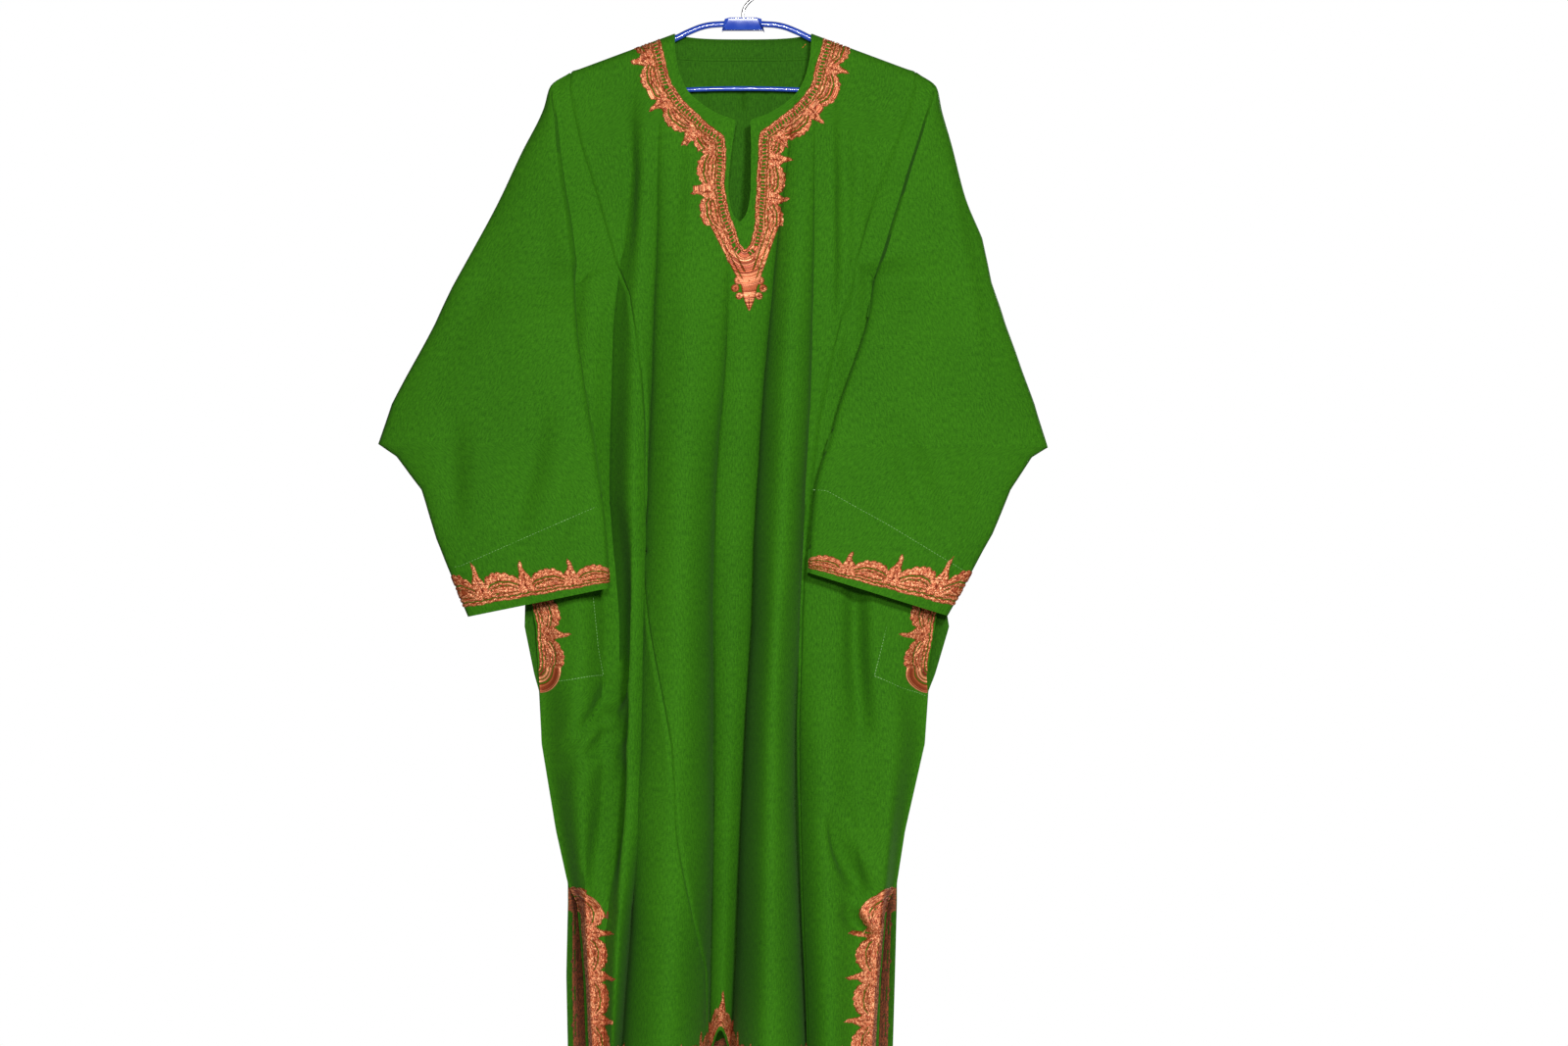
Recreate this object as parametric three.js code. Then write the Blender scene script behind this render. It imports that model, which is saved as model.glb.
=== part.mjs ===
// A pheran: a long loose robe with wide sleeves, a round neck with a centre slit, side gores with pocket
// mouths and side slits, hung on a plain plastic hanger.
//
// Millimetres, +Z up. The front of the robe faces -Y, the wearer's right is at -X and the left at +X.
// The origin is the inside top of the hanger's hook, where it rests on a rail.
//
// Each piece of cloth is a wall of even thickness: a sheet of points is worked out from the sizes of the
// folds below, and its second side is the same sheet moved in along its own normals.
import * as THREE from 'three';

// ---------------------------------------------------------------- driving dimensions
const WALL = 1.5; // cloth with its turned edges
const SEAM_GAP = 0.6; // between two pieces at a seam
const LAYER_GAP = 0.4; // between a panel and what lies on it
const NECK_HALF = 76; // half width of the neck at the shoulders
const NECK_Z = -76; // the shoulder line's height at the neck
const SHOULDER_ROLL = 14; // the cloth bends over the hanger's arm within this drop
const SLIT_SIDE_Z = -1019; // the side slits start here
const HEM_Z = -1231;
const HEM_LIFT = 46; // the hem is drawn up in the middle valley of the front
const FACING_DROP = 17;
const ARM_RADIUS = 3.5;
const ARM_BELOW = 6.1; // the arm's centre lies this far under the shoulder line
const BAR_RADIUS = 2.6;
const HOOK_WIRE = 1.75;
const HOOK_INSIDE = 19; // the hook's inner radius
const BOSS = { width: 45, height: 14, depth: 10, top: -58.5 };

// ---------------------------------------------------------------- small helpers
const clamp = (value, low, high) => Math.min(Math.max(value, low), high);
const mix = (a, b, share) => a + (b - a) * share;
const ease = (share) => share * share * (3 - 2 * share);

// Rows of numbers under named columns.
const table = (columns, rows) =>
  rows.map((row) => Object.fromEntries(columns.map((column, i) => [column, row[i]])));

// A value that runs straight from row to row of a table; at and get are column names.
function straight(rows, at, get) {
  const order = [...rows].sort((a, b) => a[at] - b[at]);
  return (x) => {
    const last = order.length - 1;
    if (x <= order[0][at]) return order[0][get];
    if (x >= order[last][at]) return order[last][get];
    let i = 0;
    while (order[i + 1][at] < x) i += 1;
    return mix(order[i][get], order[i + 1][get], (x - order[i][at]) / (order[i + 1][at] - order[i][at]));
  };
}

// A smooth curve through the values at the stations, with no overshoot.
function smooth(stations, values) {
  const steps = values.slice(1).map((v, i) => (v - values[i]) / (stations[i + 1] - stations[i]));
  const slopes = values.map((v, i) => {
    const before = steps[Math.max(i - 1, 0)];
    const after = steps[Math.min(i, steps.length - 1)];
    return before * after <= 0 ? 0 : (2 * before * after) / (before + after);
  });
  return (x) => {
    const at = clamp(x, Math.min(...stations), Math.max(...stations));
    let i = 0;
    while (i < steps.length - 1 && (stations[i + 1] - at) * (stations[i + 1] - stations[i]) < 0) i += 1;
    const width = stations[i + 1] - stations[i];
    const f = (at - stations[i]) / width;
    const rise = (1 - f) ** 2 * (values[i] * (1 + 2 * f) + slopes[i] * width * f);
    return rise + f * f * (values[i + 1] * (3 - 2 * f) - slopes[i + 1] * width * (1 - f));
  };
}

// ---------------------------------------------------------------- the folds
// Heights of the stations at which each fold's place is given: shoulder, armhole, upper sleeve, waist,
// pocket, hip and hem.
const STATIONS = [-146, -292, -421, -619, -735, -864, -1231];

// A row for each fold, from the wearer's right to left: crowns and valleys take turns. sharp is how crisp a
// valley is, x is where the fold lies and out is how far it stands out from the robe's middle plane.
const FOLD_COLUMNS = ['sharp', 'x', 'out'];
const FRONT_FOLDS = table(FOLD_COLUMNS, [
  [0, [-194, -166, -171, -181, -187, -181, -162], [10, 7, 12, 16, 20, 34, 46]],
  [0.3, [-119, -131, -145, -149, -145, -149, -153], [11, 7, 1, -4, 0, 26, 40]],
  [0, [-104, -111, -119, -122, -124, -127, -145], [14, 24, 30, 38, 44, 50, 66]],
  [0.8, [-92, -95, -100, -106, -108, -111, -137], [14, 18, 18, 18, 18, 18, 12]],
  [0, [-56, -58, -63, -69, -71, -73, -86], [16, 34, 45, 56, 62, 68, 82]],
  [0.5, [-14, -15, -19, -32, -33, -33, -39], [15, 31, 22, 8, 2, -6, -30]],
  [0, [-1, 4, 0, -11, -13, -16, -27], [16, 32, 28, 16, 12, 6, -18]],
  [0.4, [58, 40, 27, 13, 9, 2, -14], [14, 20, 14, 2, -4, -12, -38]],
  [0, [69, 62, 52, 43, 37, 32, 28], [16, 36, 50, 64, 70, 76, 90]],
  [0.9, [80, 79, 77, 67, 62, 58, 71], [15, 24, 22, 16, 12, 10, 4]],
  [0, [97, 99, 99, 94, 94, 91, 97], [14, 26, 24, 18, 22, 46, 66]],
  [0.1, [114, 119, 119, 119, 124, 127, 123], [10, 16, 17, 15, 17, 30, 46]],
  [0, [194, 143, 140, 159, 170, 164, 138], [10, 8, 12, 15, 20, 36, 50]],
]);
const BACK_FOLDS = table(FOLD_COLUMNS, [
  [0, [-181, -164, -162, -179, -186, -179, -168], [9, 9, 16, 32, 38, 42, 50]],
  [0.2, [-127, -127, -127, -138, -143, -143, -143], [10, 9, 8, 10, 12, 18, 38]],
  [0, [-84, -89, -93, -102, -106, -108, -114], [13, 24, 31, 42, 48, 54, 68]],
  [0.5, [-46, -50, -56, -65, -69, -73, -86], [12, 17, 18, 20, 24, 30, 54]],
  [0, [-1, -4, -11, -17, -19, -24, -39], [14, 28, 36, 50, 58, 64, 78]],
  [0.5, [45, 41, 35, 30, 28, 24, 6], [12, 17, 18, 19, 22, 28, 52]],
  [0, [86, 82, 73, 73, 73, 67, 48], [13, 24, 31, 42, 48, 54, 68]],
  [0.2, [126, 119, 110, 117, 121, 112, 89], [10, 9, 8, 10, 12, 18, 38]],
  [0, [180, 146, 140, 162, 173, 160, 132], [9, 9, 16, 32, 38, 42, 50]],
]);

// The side edges of the front and back. The front stands off the back at the pocket mouth and in the slit.
const FLAT = WALL + SEAM_GAP / 2;
const EDGE_COLUMNS = ['z', 'frontRight', 'frontLeft', 'frontOut', 'backRight', 'backLeft', 'backOut'];
const SIDE_EDGES = table(EDGE_COLUMNS, [
  [-146, -214, 213, 6, -214, 213, 6],
  [-292, -195, 165, 4, -195, 165, 4],
  [-354, -188, 146, FLAT, -188, 146, FLAT],
  [-421, -200, 163, FLAT, -200, 163, FLAT],
  [-508, -214, 181, FLAT, -214, 181, FLAT],
  [-619, -231, 205, FLAT, -231, 205, FLAT],
  [-691, -239, 220, FLAT, -242, 222, FLAT],
  [-735, -230, 213, 4.5, -243, 229, FLAT],
  [-789, -227, 204, 4, -232, 213, FLAT],
  [-806, -226, 205, FLAT, -227, 206, FLAT],
  [-864, -224, 202, FLAT, -224, 202, FLAT],
  [-961, -208, 180, FLAT, -208, 180, FLAT],
  [SLIT_SIDE_Z, -195, 171, FLAT, -195, 171, FLAT],
  [-1042, -184, 160, 7, -195, 171, 4],
  [-1123, -177, 153, 10, -197, 169, 9],
  [HEM_Z, -173, 149, 12, -195, 166, 12],
]);

// Seams between the centre panels and the sleeves (down to the underarm) and then the gores.
const UNDERARM = { right: { x: -188, z: -354 }, left: { x: 146, z: -347 } };
const CROSS_SEAM_Z = -333; // the cross seam meets the centre panel here
const GORE_ROW_Z = -366; // the gores' first row below it
const ARMHOLE = table(['z', 'right', 'left'], [
  [-76, -192, 195],
  [-136, -192, 192],
  [-159, -189, 186],
  [-199, -180.5, 171],
  [-255, -163, 149],
  [-290, -153, 138],
  [CROSS_SEAM_Z, -141, 125],
]);
// Below the underarm a seam wanders across the folds, so its place is a fold number.
const FRONT_SEAMS = table(['z', 'right', 'left'], [
  [GORE_ROW_Z, 2.6, 12],
  [-400, 2.9, 11.55],
  [-427, 3.2, 11.15],
  [-454, 3.5, 10.8],
  [-508, 3.8, 10.4],
  [-619, 3.92, 10.12],
  [-691, 4.08, 10.08],
  [-735, 4.25, 10.08],
  [-864, 4.85, 10.12],
  [-911, 4.97, 10.12],
  [-958, 5.12, 10.12],
  [-1041, 5.5, 10.12],
  [-1123, 5.9, 10.12],
  [HEM_Z, 5.97, 10.12],
]);
const BACK_SEAMS = table(['z', 'right', 'left'], [
  [GORE_ROW_Z, 1.85, 8.15],
  [-400, 2.1, 7.9],
  [-454, 2.45, 7.55],
  [-508, 2.75, 7.25],
  [-735, 3.05, 6.95],
  [HEM_Z, 3.6, 6.4],
]);

// The shoulder line and the neck, by distance from the centre.
const SHOULDER = table(['x', 'z'], [[NECK_HALF, NECK_Z], [212, -126.5]]);
const NECK = table(['z', 'half'], [
  [NECK_Z, NECK_HALF],
  [-101, 74.5],
  [-122, 70],
  [-141, 61],
  [-156, 45],
  [-166.5, 28],
  [-175, 8.5],
  [-205, 11],
  [-249, 12],
  [-287.5, 0],
]);
const BACK_NECK_DIP = 9;
const shoulderZ = straight(SHOULDER, 'x', 'z');
const neckHalf = straight(NECK, 'z', 'half');
const lineZ = (x) => shoulderZ(Math.abs(x));

// One side of the robe's body as a surface: at(t, z) gives the point on fold t (a whole number on a crown or
// a valley) at height z. side is -1 for the front and 1 for the back.
function bodySide(side, folds, edge, seams) {
  const right = { sharp: 0, x: straight(SIDE_EDGES, 'z', `${edge}Right`), out: straight(SIDE_EDGES, 'z', `${edge}Out`) };
  const left = { sharp: 0, x: straight(SIDE_EDGES, 'z', `${edge}Left`), out: right.out };
  const inner = folds.map((fold) => ({
    sharp: fold.sharp,
    x: smooth(STATIONS, fold.x),
    out: smooth(STATIONS, fold.out),
  }));
  const lines = [right, ...inner, left];
  const last = lines.length - 1;
  const across = (t, z) => {
    const k = clamp(Math.floor(t), 0, last - 1);
    const f = t - k;
    const crownFirst = k % 2 === 1;
    const crown = lines[crownFirst ? k : k + 1];
    const valley = lines[crownFirst ? k + 1 : k];
    const away = crownFirst ? f : 1 - f;
    const shape = mix((1 + Math.cos(Math.PI * away)) / 2, Math.sqrt(Math.max(1 - away * away, 0)), valley.sharp);
    return { x: mix(lines[k].x(z), lines[k + 1].x(z), f), out: mix(valley.out(z), crown.out(z), shape) };
  };
  const at = (t, z) => {
    const { x, out } = across(t, z);
    const bend = clamp((lineZ(x) - z) / SHOULDER_ROLL, 0, 1);
    const stand = Math.max(out * Math.sqrt(1 - (1 - bend) ** 2), bend > 0.9 ? -1e3 : SEAM_GAP / 2);
    return new THREE.Vector3(x, side * stand, z);
  };
  const foldAt = (x, z) => {
    let low = 0;
    let high = last;
    for (let i = 0; i < 40; i += 1) {
      const middle = (low + high) / 2;
      if (across(middle, z).x < x) low = middle;
      else high = middle;
    }
    return low;
  };
  const normal = (t, z) => {
    const { x } = across(t, z);
    if (lineZ(x) - z < 0.1) {
      return new THREE.Vector3(-(lineZ(x + 1) - lineZ(x - 1)) / 2, 0, 1).normalize();
    }
    const a = at(Math.max(t - 0.01, 0), z);
    const b = at(Math.min(t + 0.01, last), z);
    const wide = b.sub(a);
    const tall = at(t, z + 0.5).sub(at(t, z - 0.5));
    const n = new THREE.Vector3().crossVectors(wide, tall).normalize();
    return n.y * side < 0 ? n.negate() : n;
  };
  const armhole = { right: straight(ARMHOLE, 'z', 'right'), left: straight(ARMHOLE, 'z', 'left') };
  const gored = { right: straight(seams, 'z', 'right'), left: straight(seams, 'z', 'left') };
  const seamFold = (which, z) => {
    const upper = foldAt(armhole[which](z), Math.max(z, CROSS_SEAM_Z));
    return mix(upper, gored[which](z), clamp((CROSS_SEAM_Z - z) / (CROSS_SEAM_Z - seams[0].z), 0, 1));
  };
  const seamX = (which, z) => across(seamFold(which, z), z).x;
  return { at, normal, last, seamX, seamFold, foldAt };
}
const FRONT = bodySide(-1, FRONT_FOLDS, 'front', FRONT_SEAMS);
const BACK = bodySide(1, BACK_FOLDS, 'back', BACK_SEAMS);

// ---------------------------------------------------------------- walls
// A closed wall from a grid of places: each has its outer point and its normal. Places at the same point are
// one, so a cell that closes up is left out, and skip(i, j) says which cells are open.
function wallMesh(grid, thickness, skip = () => false) {
  const outer = [];
  const inner = [];
  const found = new Map();
  const number = (place) => {
    const key = place.point.toArray().map((v) => Math.round(v * 500)).join(' ');
    if (!found.has(key)) {
      found.set(key, outer.length);
      outer.push(place.point);
      inner.push(place.point.clone().addScaledVector(place.normal, -thickness));
    }
    return found.get(key);
  };
  const index = grid.map((row) => row.map(number));
  const faces = [];
  const face = (a, b, c) => {
    if (a !== b && b !== c && c !== a) faces.push([a, b, c]);
  };
  for (let i = 0; i + 1 < index.length; i += 1) {
    for (let j = 0; j + 1 < index[i].length; j += 1) {
      if (skip(i, j)) continue;
      const [a, b, c, d] = [index[i][j], index[i][j + 1], index[i + 1][j + 1], index[i + 1][j]];
      const corner = (k) => outer[k];
      if (a !== c && (b === d || corner(a).distanceTo(corner(c)) < corner(b).distanceTo(corner(d)))) {
        face(a, b, c);
        face(a, c, d);
      } else {
        face(a, b, d);
        face(b, c, d);
      }
    }
  }
  const edges = new Map();
  for (const [a, b, c] of faces) {
    for (const [p, q] of [[a, b], [b, c], [c, a]]) edges.set(`${p} ${q}`, [p, q]);
  }
  const count = outer.length;
  const triangles = faces.flatMap(([a, b, c]) => [[a, b, c], [count + a, count + c, count + b]]);
  for (const [p, q] of edges.values()) {
    if (edges.has(`${q} ${p}`)) continue;
    triangles.push([q, p, count + p], [q, count + p, count + q]);
  }
  return closedMesh([...outer, ...inner], triangles);
}

// Triangles turned so that they face out, as a geometry.
function closedMesh(points, triangles) {
  const volume = triangles.reduce(
    (sum, [a, b, c]) => sum + points[a].dot(new THREE.Vector3().crossVectors(points[b], points[c])),
    0,
  );
  const turned = volume < 0 ? triangles.map(([a, b, c]) => [a, c, b]) : triangles;
  const geometry = new THREE.BufferGeometry();
  geometry.setAttribute('position', new THREE.Float32BufferAttribute(points.flatMap((p) => p.toArray()), 3));
  geometry.setIndex(turned.flat());
  geometry.computeVertexNormals();
  return geometry;
}

// ---------------------------------------------------------------- body panels
// Rows of the panels: their height at the neck, and how much of the shoulder's slope they still follow.
const ROW_COLUMNS = ['z', 'slope'];
const TOP_ROWS = [[NECK_Z, 1], [-77.2, 1], [-80, 1], [-90, 1]];
const LOWER_ROWS = [[CROSS_SEAM_Z, 0], [GORE_ROW_Z, 0], [-400, 0], [-427, 0], [-454, 0], [-508, 0], [-563, 0], [-619, 0], [-677, 0],
  [-735, 0], [-800, 0], [-864, 0], [-911, 0], [-958, 0], [SLIT_SIDE_Z, 0], [-1042, 0], [-1123, 0], [HEM_Z, 0]];
const FRONT_ROWS = table(ROW_COLUMNS, [...TOP_ROWS, [-105, 0.9], [-122, 0.85], [-141, 0.8], [-156, 0.75],
  [-166.5, 0.7], [-175, 0.65], [-205, 0.45], [-249, 0.2], [-287.5, 0], ...LOWER_ROWS]);
const BACK_ROWS = table(ROW_COLUMNS, [...TOP_ROWS, [-125, 0.85], [-175, 0.65], [-249, 0.2], ...LOWER_ROWS]);
const STEPS = { front: [0, 0.45, 0.8, 1], back: [0, 0.5, 1] };

// Places across the folds: closer together towards the valleys.
function foldSteps(last, steps) {
  const places = [0];
  for (let k = 0; k < last; k += 1) {
    const fromCrown = k % 2 === 1 ? steps : steps.map((s) => 1 - s).reverse();
    fromCrown.slice(1).forEach((s) => places.push(k + s));
  }
  return places;
}

const rowZ = (row, x) => row.z + row.slope * (lineZ(x) - NECK_Z);
const hemLift = (t, z) => {
  const middle = Math.exp(-(((t - 7) / 0.95) ** 2));
  return HEM_LIFT * middle * ease(clamp((-864 - z) / (-864 - HEM_Z), 0, 1));
};

// The place on a side at fold t in a row. Rows that follow the shoulder need the fold's own x first.
function place(side, t, row) {
  let z = row.z;
  for (let i = 0; i < 4; i += 1) z = rowZ(row, side.at(t, z).x);
  if (side === FRONT) z += hemLift(t, z);
  if (side === BACK && row.z > -125) {
    const dip = BACK_NECK_DIP * clamp(1 - (Math.abs(side.at(t, z).x) / NECK_HALF) ** 4, 0, 1);
    z -= dip * clamp((row.z + 125) / 49, 0, 1);
  }
  return { point: side.at(t, z), normal: side.normal(t, z), z };
}

// The place of a seam in a row, with its fold number, moved by half the seam's gap towards the piece. Both
// pieces at a seam share its normal, so their edges stay apart.
function seamPlace(side, which, row, towards) {
  let z = row.z;
  for (let i = 0; i < 4; i += 1) z = rowZ(row, side.seamX(which, z));
  const t = side.seamFold(which, z);
  const { point, normal } = place(side, t, row);
  const along = side.at(t + 0.005, z).sub(side.at(t - 0.005, z)).normalize();
  return { t, point: point.addScaledVector(along, (towards * SEAM_GAP) / 2), normal };
}

// A place between two seam places.
function between(side, t, row, low, high) {
  if (low && t <= low.t) return low;
  if (high && t >= high.t) return high;
  return place(side, t, row);
}

const NECK_ENDS = [-NECK_HALF + 3, NECK_HALF - 3].map((x) => BACK.foldAt(x, NECK_Z));

function centrePanel(side, rows, steps) {
  const columns = [...foldSteps(side.last, steps), ...(side === BACK ? NECK_ENDS : [])].sort((a, b) => a - b);
  const half = side === FRONT ? columns.filter((t) => t < 7) : [];
  const grid = rows.map((row) => {
    const low = seamPlace(side, 'right', row, 1);
    const high = seamPlace(side, 'left', row, -1);
    if (side === BACK) return columns.map((t) => between(side, t, row, low, high));
    const open = row.z > -287 ? neckHalf(row.z) : 0;
    const neck = [side.foldAt(-open, row.z), side.foldAt(open, row.z)];
    if (open === 0) neck[0] = neck[1] = side.foldAt(0, row.z);
    return [
      ...half.map((t) => between(side, Math.min(t, neck[0]), row, low, high)),
      place(side, neck[0], row),
      place(side, neck[1], row),
      ...columns.slice(half.length).map((t) => between(side, Math.max(t, neck[1]), row, low, high)),
    ];
  });
  return wallMesh(grid, WALL, (i, j) => side === FRONT && j === half.length);
}

// A gore hangs from the cross seam at the underarm, between the side edge and the centre panel's seam.
function gore(side, which, steps) {
  const columns = foldSteps(side.last, steps);
  const { x: cornerX, z: cornerZ } = UNDERARM[which];
  const rows = (side === FRONT ? FRONT_ROWS : BACK_ROWS).filter((row) => row.z < GORE_ROW_Z);
  const topZ = (x) => {
    const seamX = side.seamX(which, CROSS_SEAM_Z);
    return mix(cornerZ, CROSS_SEAM_Z, clamp((x - cornerX) / (seamX - cornerX), 0, 1)) - SEAM_GAP;
  };
  const limits = (row) => {
    const seam = seamPlace(side, which, row, which === 'right' ? -1 : 1);
    return which === 'right' ? [null, seam] : [seam, null];
  };
  const topRow = (drop) => {
    const seamRow = { z: CROSS_SEAM_Z - drop - SEAM_GAP, slope: 0 };
    const [low, high] = limits(seamRow);
    return columns.map((t) => {
      if ((low && t <= low.t) || (high && t >= high.t)) return low || high;
      let z = cornerZ;
      for (let i = 0; i < 5; i += 1) z = topZ(side.at(t, z).x) - drop;
      return { point: side.at(t, z), normal: side.normal(t, z) };
    });
  };
  const grid = [topRow(0), topRow(CROSS_SEAM_Z - SEAM_GAP - GORE_ROW_Z)];
  for (const row of rows) {
    const [low, high] = limits(row);
    grid.push(columns.map((t) => between(side, t, row, low, high)));
  }
  return wallMesh(grid, WALL);
}

// ---------------------------------------------------------------- sleeves
// A row for each line across the sleeve, from its inner end (the armhole, then the tube's inner fold) to the
// fold along its outer edge. fold is how far along the line the front layer rolls over the recessed strip
// beside the armhole, proud is how far it stands off that strip, innerOut and outerOut are how far the tube's
// ends stand out from the robe's middle plane, and half is half the tube's thickness.
const SLEEVE_COLUMNS = ['innerX', 'innerZ', 'outerX', 'outerZ', 'fold', 'proud', 'innerOut', 'outerOut', 'half'];
const ARMHOLE_LINES = 6;
const SLEEVES = {
  right: table(SLEEVE_COLUMNS, [
    [-192, -136, -195, -122, 0.95, 0, 0, 0, 0],
    [-189, -159, -214, -134, 0.9, 1, 0, 0, 0],
    [-180.5, -199, -222, -160, 0.68, 8, 0, 0, 0],
    [-163, -255, -246, -208, 0.49, 13, 0, 0, 0],
    [-153, -290, -273, -265, 0.36, 15, 0, 0, 0],
    [-141, -333, -302, -319, 0.31, 16, 0, 0, 0],
    [-191, -355, -323, -357, 0, 0, 3, 0, 16],
    [-185, -394, -342, -398, 0, 0, 20, 4, 17],
    [-171, -488, -389, -488, 0, 0, 32, 10, 17],
    [-163, -533, -404, -532, 0, 0, 34, 12, 17],
    [-161, -549, -384, -546, 0, 0, 35, 14, 17],
    [-156, -583, -356, -583, 0, 0, 36, 20, 16],
    [-150, -637, -339, -637, 0, 0, 38, 26, 15],
    [-147, -691, -303, -723, 0, 0, 40, 30, 14],
  ]),
  left: table(SLEEVE_COLUMNS, [
    [192, -136, 195, -122, 0.95, 0, 0, 0, 0],
    [186, -159, 215, -136, 0.9, 1, 0, 0, 0],
    [171, -199, 221, -162, 0.63, 8, 0, 0, 0],
    [149, -255, 232, -200, 0.44, 12, 0, 0, 0],
    [138, -290, 247, -257, 0.3, 13, 0, 0, 0],
    [125, -333, 266, -303, 0.22, 13, 0, 0, 0],
    [150, -349, 276, -352, 0, 0, 3, 0, 16],
    [138, -394, 291, -398, 0, 0, 24, 4, 15],
    [107, -488, 324, -488, 0, 0, 40, 10, 14],
    [93, -536, 338, -536, 0, 0, 40, 12, 14],
    [88, -549, 320, -547, 0, 0, 40, 14, 14],
    [80, -583, 296, -583, 0, 0, 40, 20, 13],
    [75, -632, 276, -632, 0, 0, 42, 26, 13],
    [72, -674, 226, -722, 0, 0, 44, 30, 12],
  ]),
};
const STRIP_STEPS = [0, 0.5, 0.97];
const FRONT_STEPS = [0, 0.06, 0.18, 0.34, 0.5, 0.66, 0.82, 0.94, 1];
const BACK_STEPS = [0, 0.06, 0.2, 0.4, 0.6, 0.8, 0.94, 1];

// Half a flattened tube's thickness, from 0 at its folds to 1 in the middle.
const tubeShape = (s) => (1 - Math.abs(2 * s - 1) ** 2.5) ** 0.4;

function sleevePoint(line, s, side, seamOut) {
  const x = mix(line.innerX, line.outerX, s);
  const z = mix(line.innerZ, line.outerZ, s);
  let out;
  if (line.half > 0) {
    const middle = -mix(line.innerOut, line.outerOut, s);
    out = middle + side * (line.half * tubeShape(s) + SEAM_GAP / 2);
    return new THREE.Vector3(x, out, z);
  }
  const strip = seamOut * Math.sqrt(1 - s * s * (line.proud > 1 ? 0 : 1));
  if (side > 0) {
    out = (seamOut + 8 * Math.sin(Math.PI * s) * clamp(line.proud, 0, 1)) * Math.sqrt(1 - s * s);
  } else if (s < line.fold) {
    out = strip;
  } else {
    const w = (s - line.fold) / (1 - line.fold);
    out = (seamOut * Math.sqrt(1 - line.fold ** 2 * (line.proud > 1 ? 0 : 1)) + line.proud) * Math.sqrt(1 - w * w);
  }
  return new THREE.Vector3(x, side * Math.max(out, SEAM_GAP / 2), z);
}

// Half a sleeve: its front or back layer, from the inner end to the outer fold.
function sleeveHalf(which, side) {
  const body = side < 0 ? FRONT : BACK;
  const towards = which === 'right' ? -1 : 1;
  const lines = SLEEVES[which];
  const points = lines.map((line, i) => {
    const open = i < ARMHOLE_LINES;
    const seamOut = open ? Math.abs(body.at(body.seamFold(which, line.innerZ), line.innerZ).y) : 0;
    const fold = open ? line.fold : 0;
    const steps = side < 0
      ? [...STRIP_STEPS.map((s) => s * fold), ...FRONT_STEPS.map((s) => fold + s * (1 - fold))]
      : BACK_STEPS;
    return steps.map((s) => {
      const point = sleevePoint(line, s, side, seamOut);
      if (open) point.x += (towards * SEAM_GAP) / 2;
      return point;
    });
  });
  const sign = which === 'right' ? 1 : -1;
  const normalAt = (i, j) => {
    const row = points[i];
    const open = i < ARMHOLE_LINES;
    const line = lines[i];
    if (j === 0 && open) return body.normal(body.seamFold(which, line.innerZ), line.innerZ);
    const outwards = new THREE.Vector3(line.outerX - line.innerX, 0, line.outerZ - line.innerZ).normalize();
    if (j === row.length - 1) return outwards;
    if (!open && row[j].distanceTo(row[0]) < 0.01) return outwards.negate();
    const find = (step) => {
      let k = j;
      while (row[k + step] && row[k].distanceTo(row[j]) < 0.01) k += step;
      return row[k];
    };
    const wide = find(1).clone().sub(find(-1));
    const up = points[Math.max(i - 1, 0)][j];
    const down = points[Math.min(i + 1, points.length - 1)][j];
    const n = new THREE.Vector3().crossVectors(wide, up.clone().sub(down)).normalize();
    return n.multiplyScalar(sign * side);
  };
  const grid = points.map((row, i) => row.map((point, j) => ({ point, normal: normalAt(i, j) })));
  return wallMesh(grid, WALL);
}

// ---------------------------------------------------------------- pieces that lie on a panel
// Each has the panel's own rows and columns, so it lies along the panel all over.
const onPanel = (side, columns, rows, inwards) =>
  wallMesh(rows.map((row) => columns.map((t) => {
    const { point, normal } = place(side, t, row);
    return { point: point.addScaledVector(normal, -WALL - inwards), normal };
  })), WALL);

// The facing inside the back neck.
function neckFacing() {
  const [right, left] = NECK_ENDS;
  const columns = foldSteps(BACK.last, STEPS.back).filter((t) => t > right && t < left);
  const rows = table(ROW_COLUMNS, [[-80, 1], [-90, 1], [-90 - FACING_DROP, 1]]);
  return onPanel(BACK, [right, ...columns, left], rows, LAYER_GAP);
}

// The pocket bags, stitched to the inside of the front gores beside the pocket mouths.
const POCKET_ROWS = FRONT_ROWS.filter((row) => row.z <= -677 && row.z >= -800);
const POCKET_REACH = { right: [0.15, 1.85], left: [12.15, 13.85] };
function pocketBag(which) {
  const [from, to] = POCKET_REACH[which];
  const columns = foldSteps(FRONT.last, STEPS.front).filter((t) => t > from && t < to);
  return onPanel(FRONT, columns, POCKET_ROWS, LAYER_GAP);
}

// ---------------------------------------------------------------- the hanger
function tube(points, radius, steps, sides) {
  const curve = new THREE.CatmullRomCurve3(points, false, 'centripetal');
  const section = new THREE.Shape();
  for (let i = 0; i < sides; i += 1) {
    const angle = (2 * Math.PI * i) / sides;
    const corner = [radius * Math.cos(angle), radius * Math.sin(angle)];
    if (i === 0) section.moveTo(...corner);
    else section.lineTo(...corner);
  }
  section.closePath();
  return new THREE.ExtrudeGeometry(section, { steps, bevelEnabled: false, extrudePath: curve });
}

// The arm leaves the boss level, runs straight under the shoulder and turns back into the bar at its end.
const underShoulder = (x) => [x, shoulderZ(x) - ARM_BELOW];
const ARM_LINE = table(['x', 'z'], [
  [23, -65.5], [42, -67.5], [60, -74], [74, -80.8], ...[84, 120, 155, 180].map(underShoulder),
  [192, -126.5], [197, -133], [196, -140], [190, -144.5], [182, -145],
]);
const BAR_LINE = table(['x', 'z'], [[181.5, -145], [150, -144], [0, -137], [-150, -144], [-181.5, -145]]);

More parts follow.
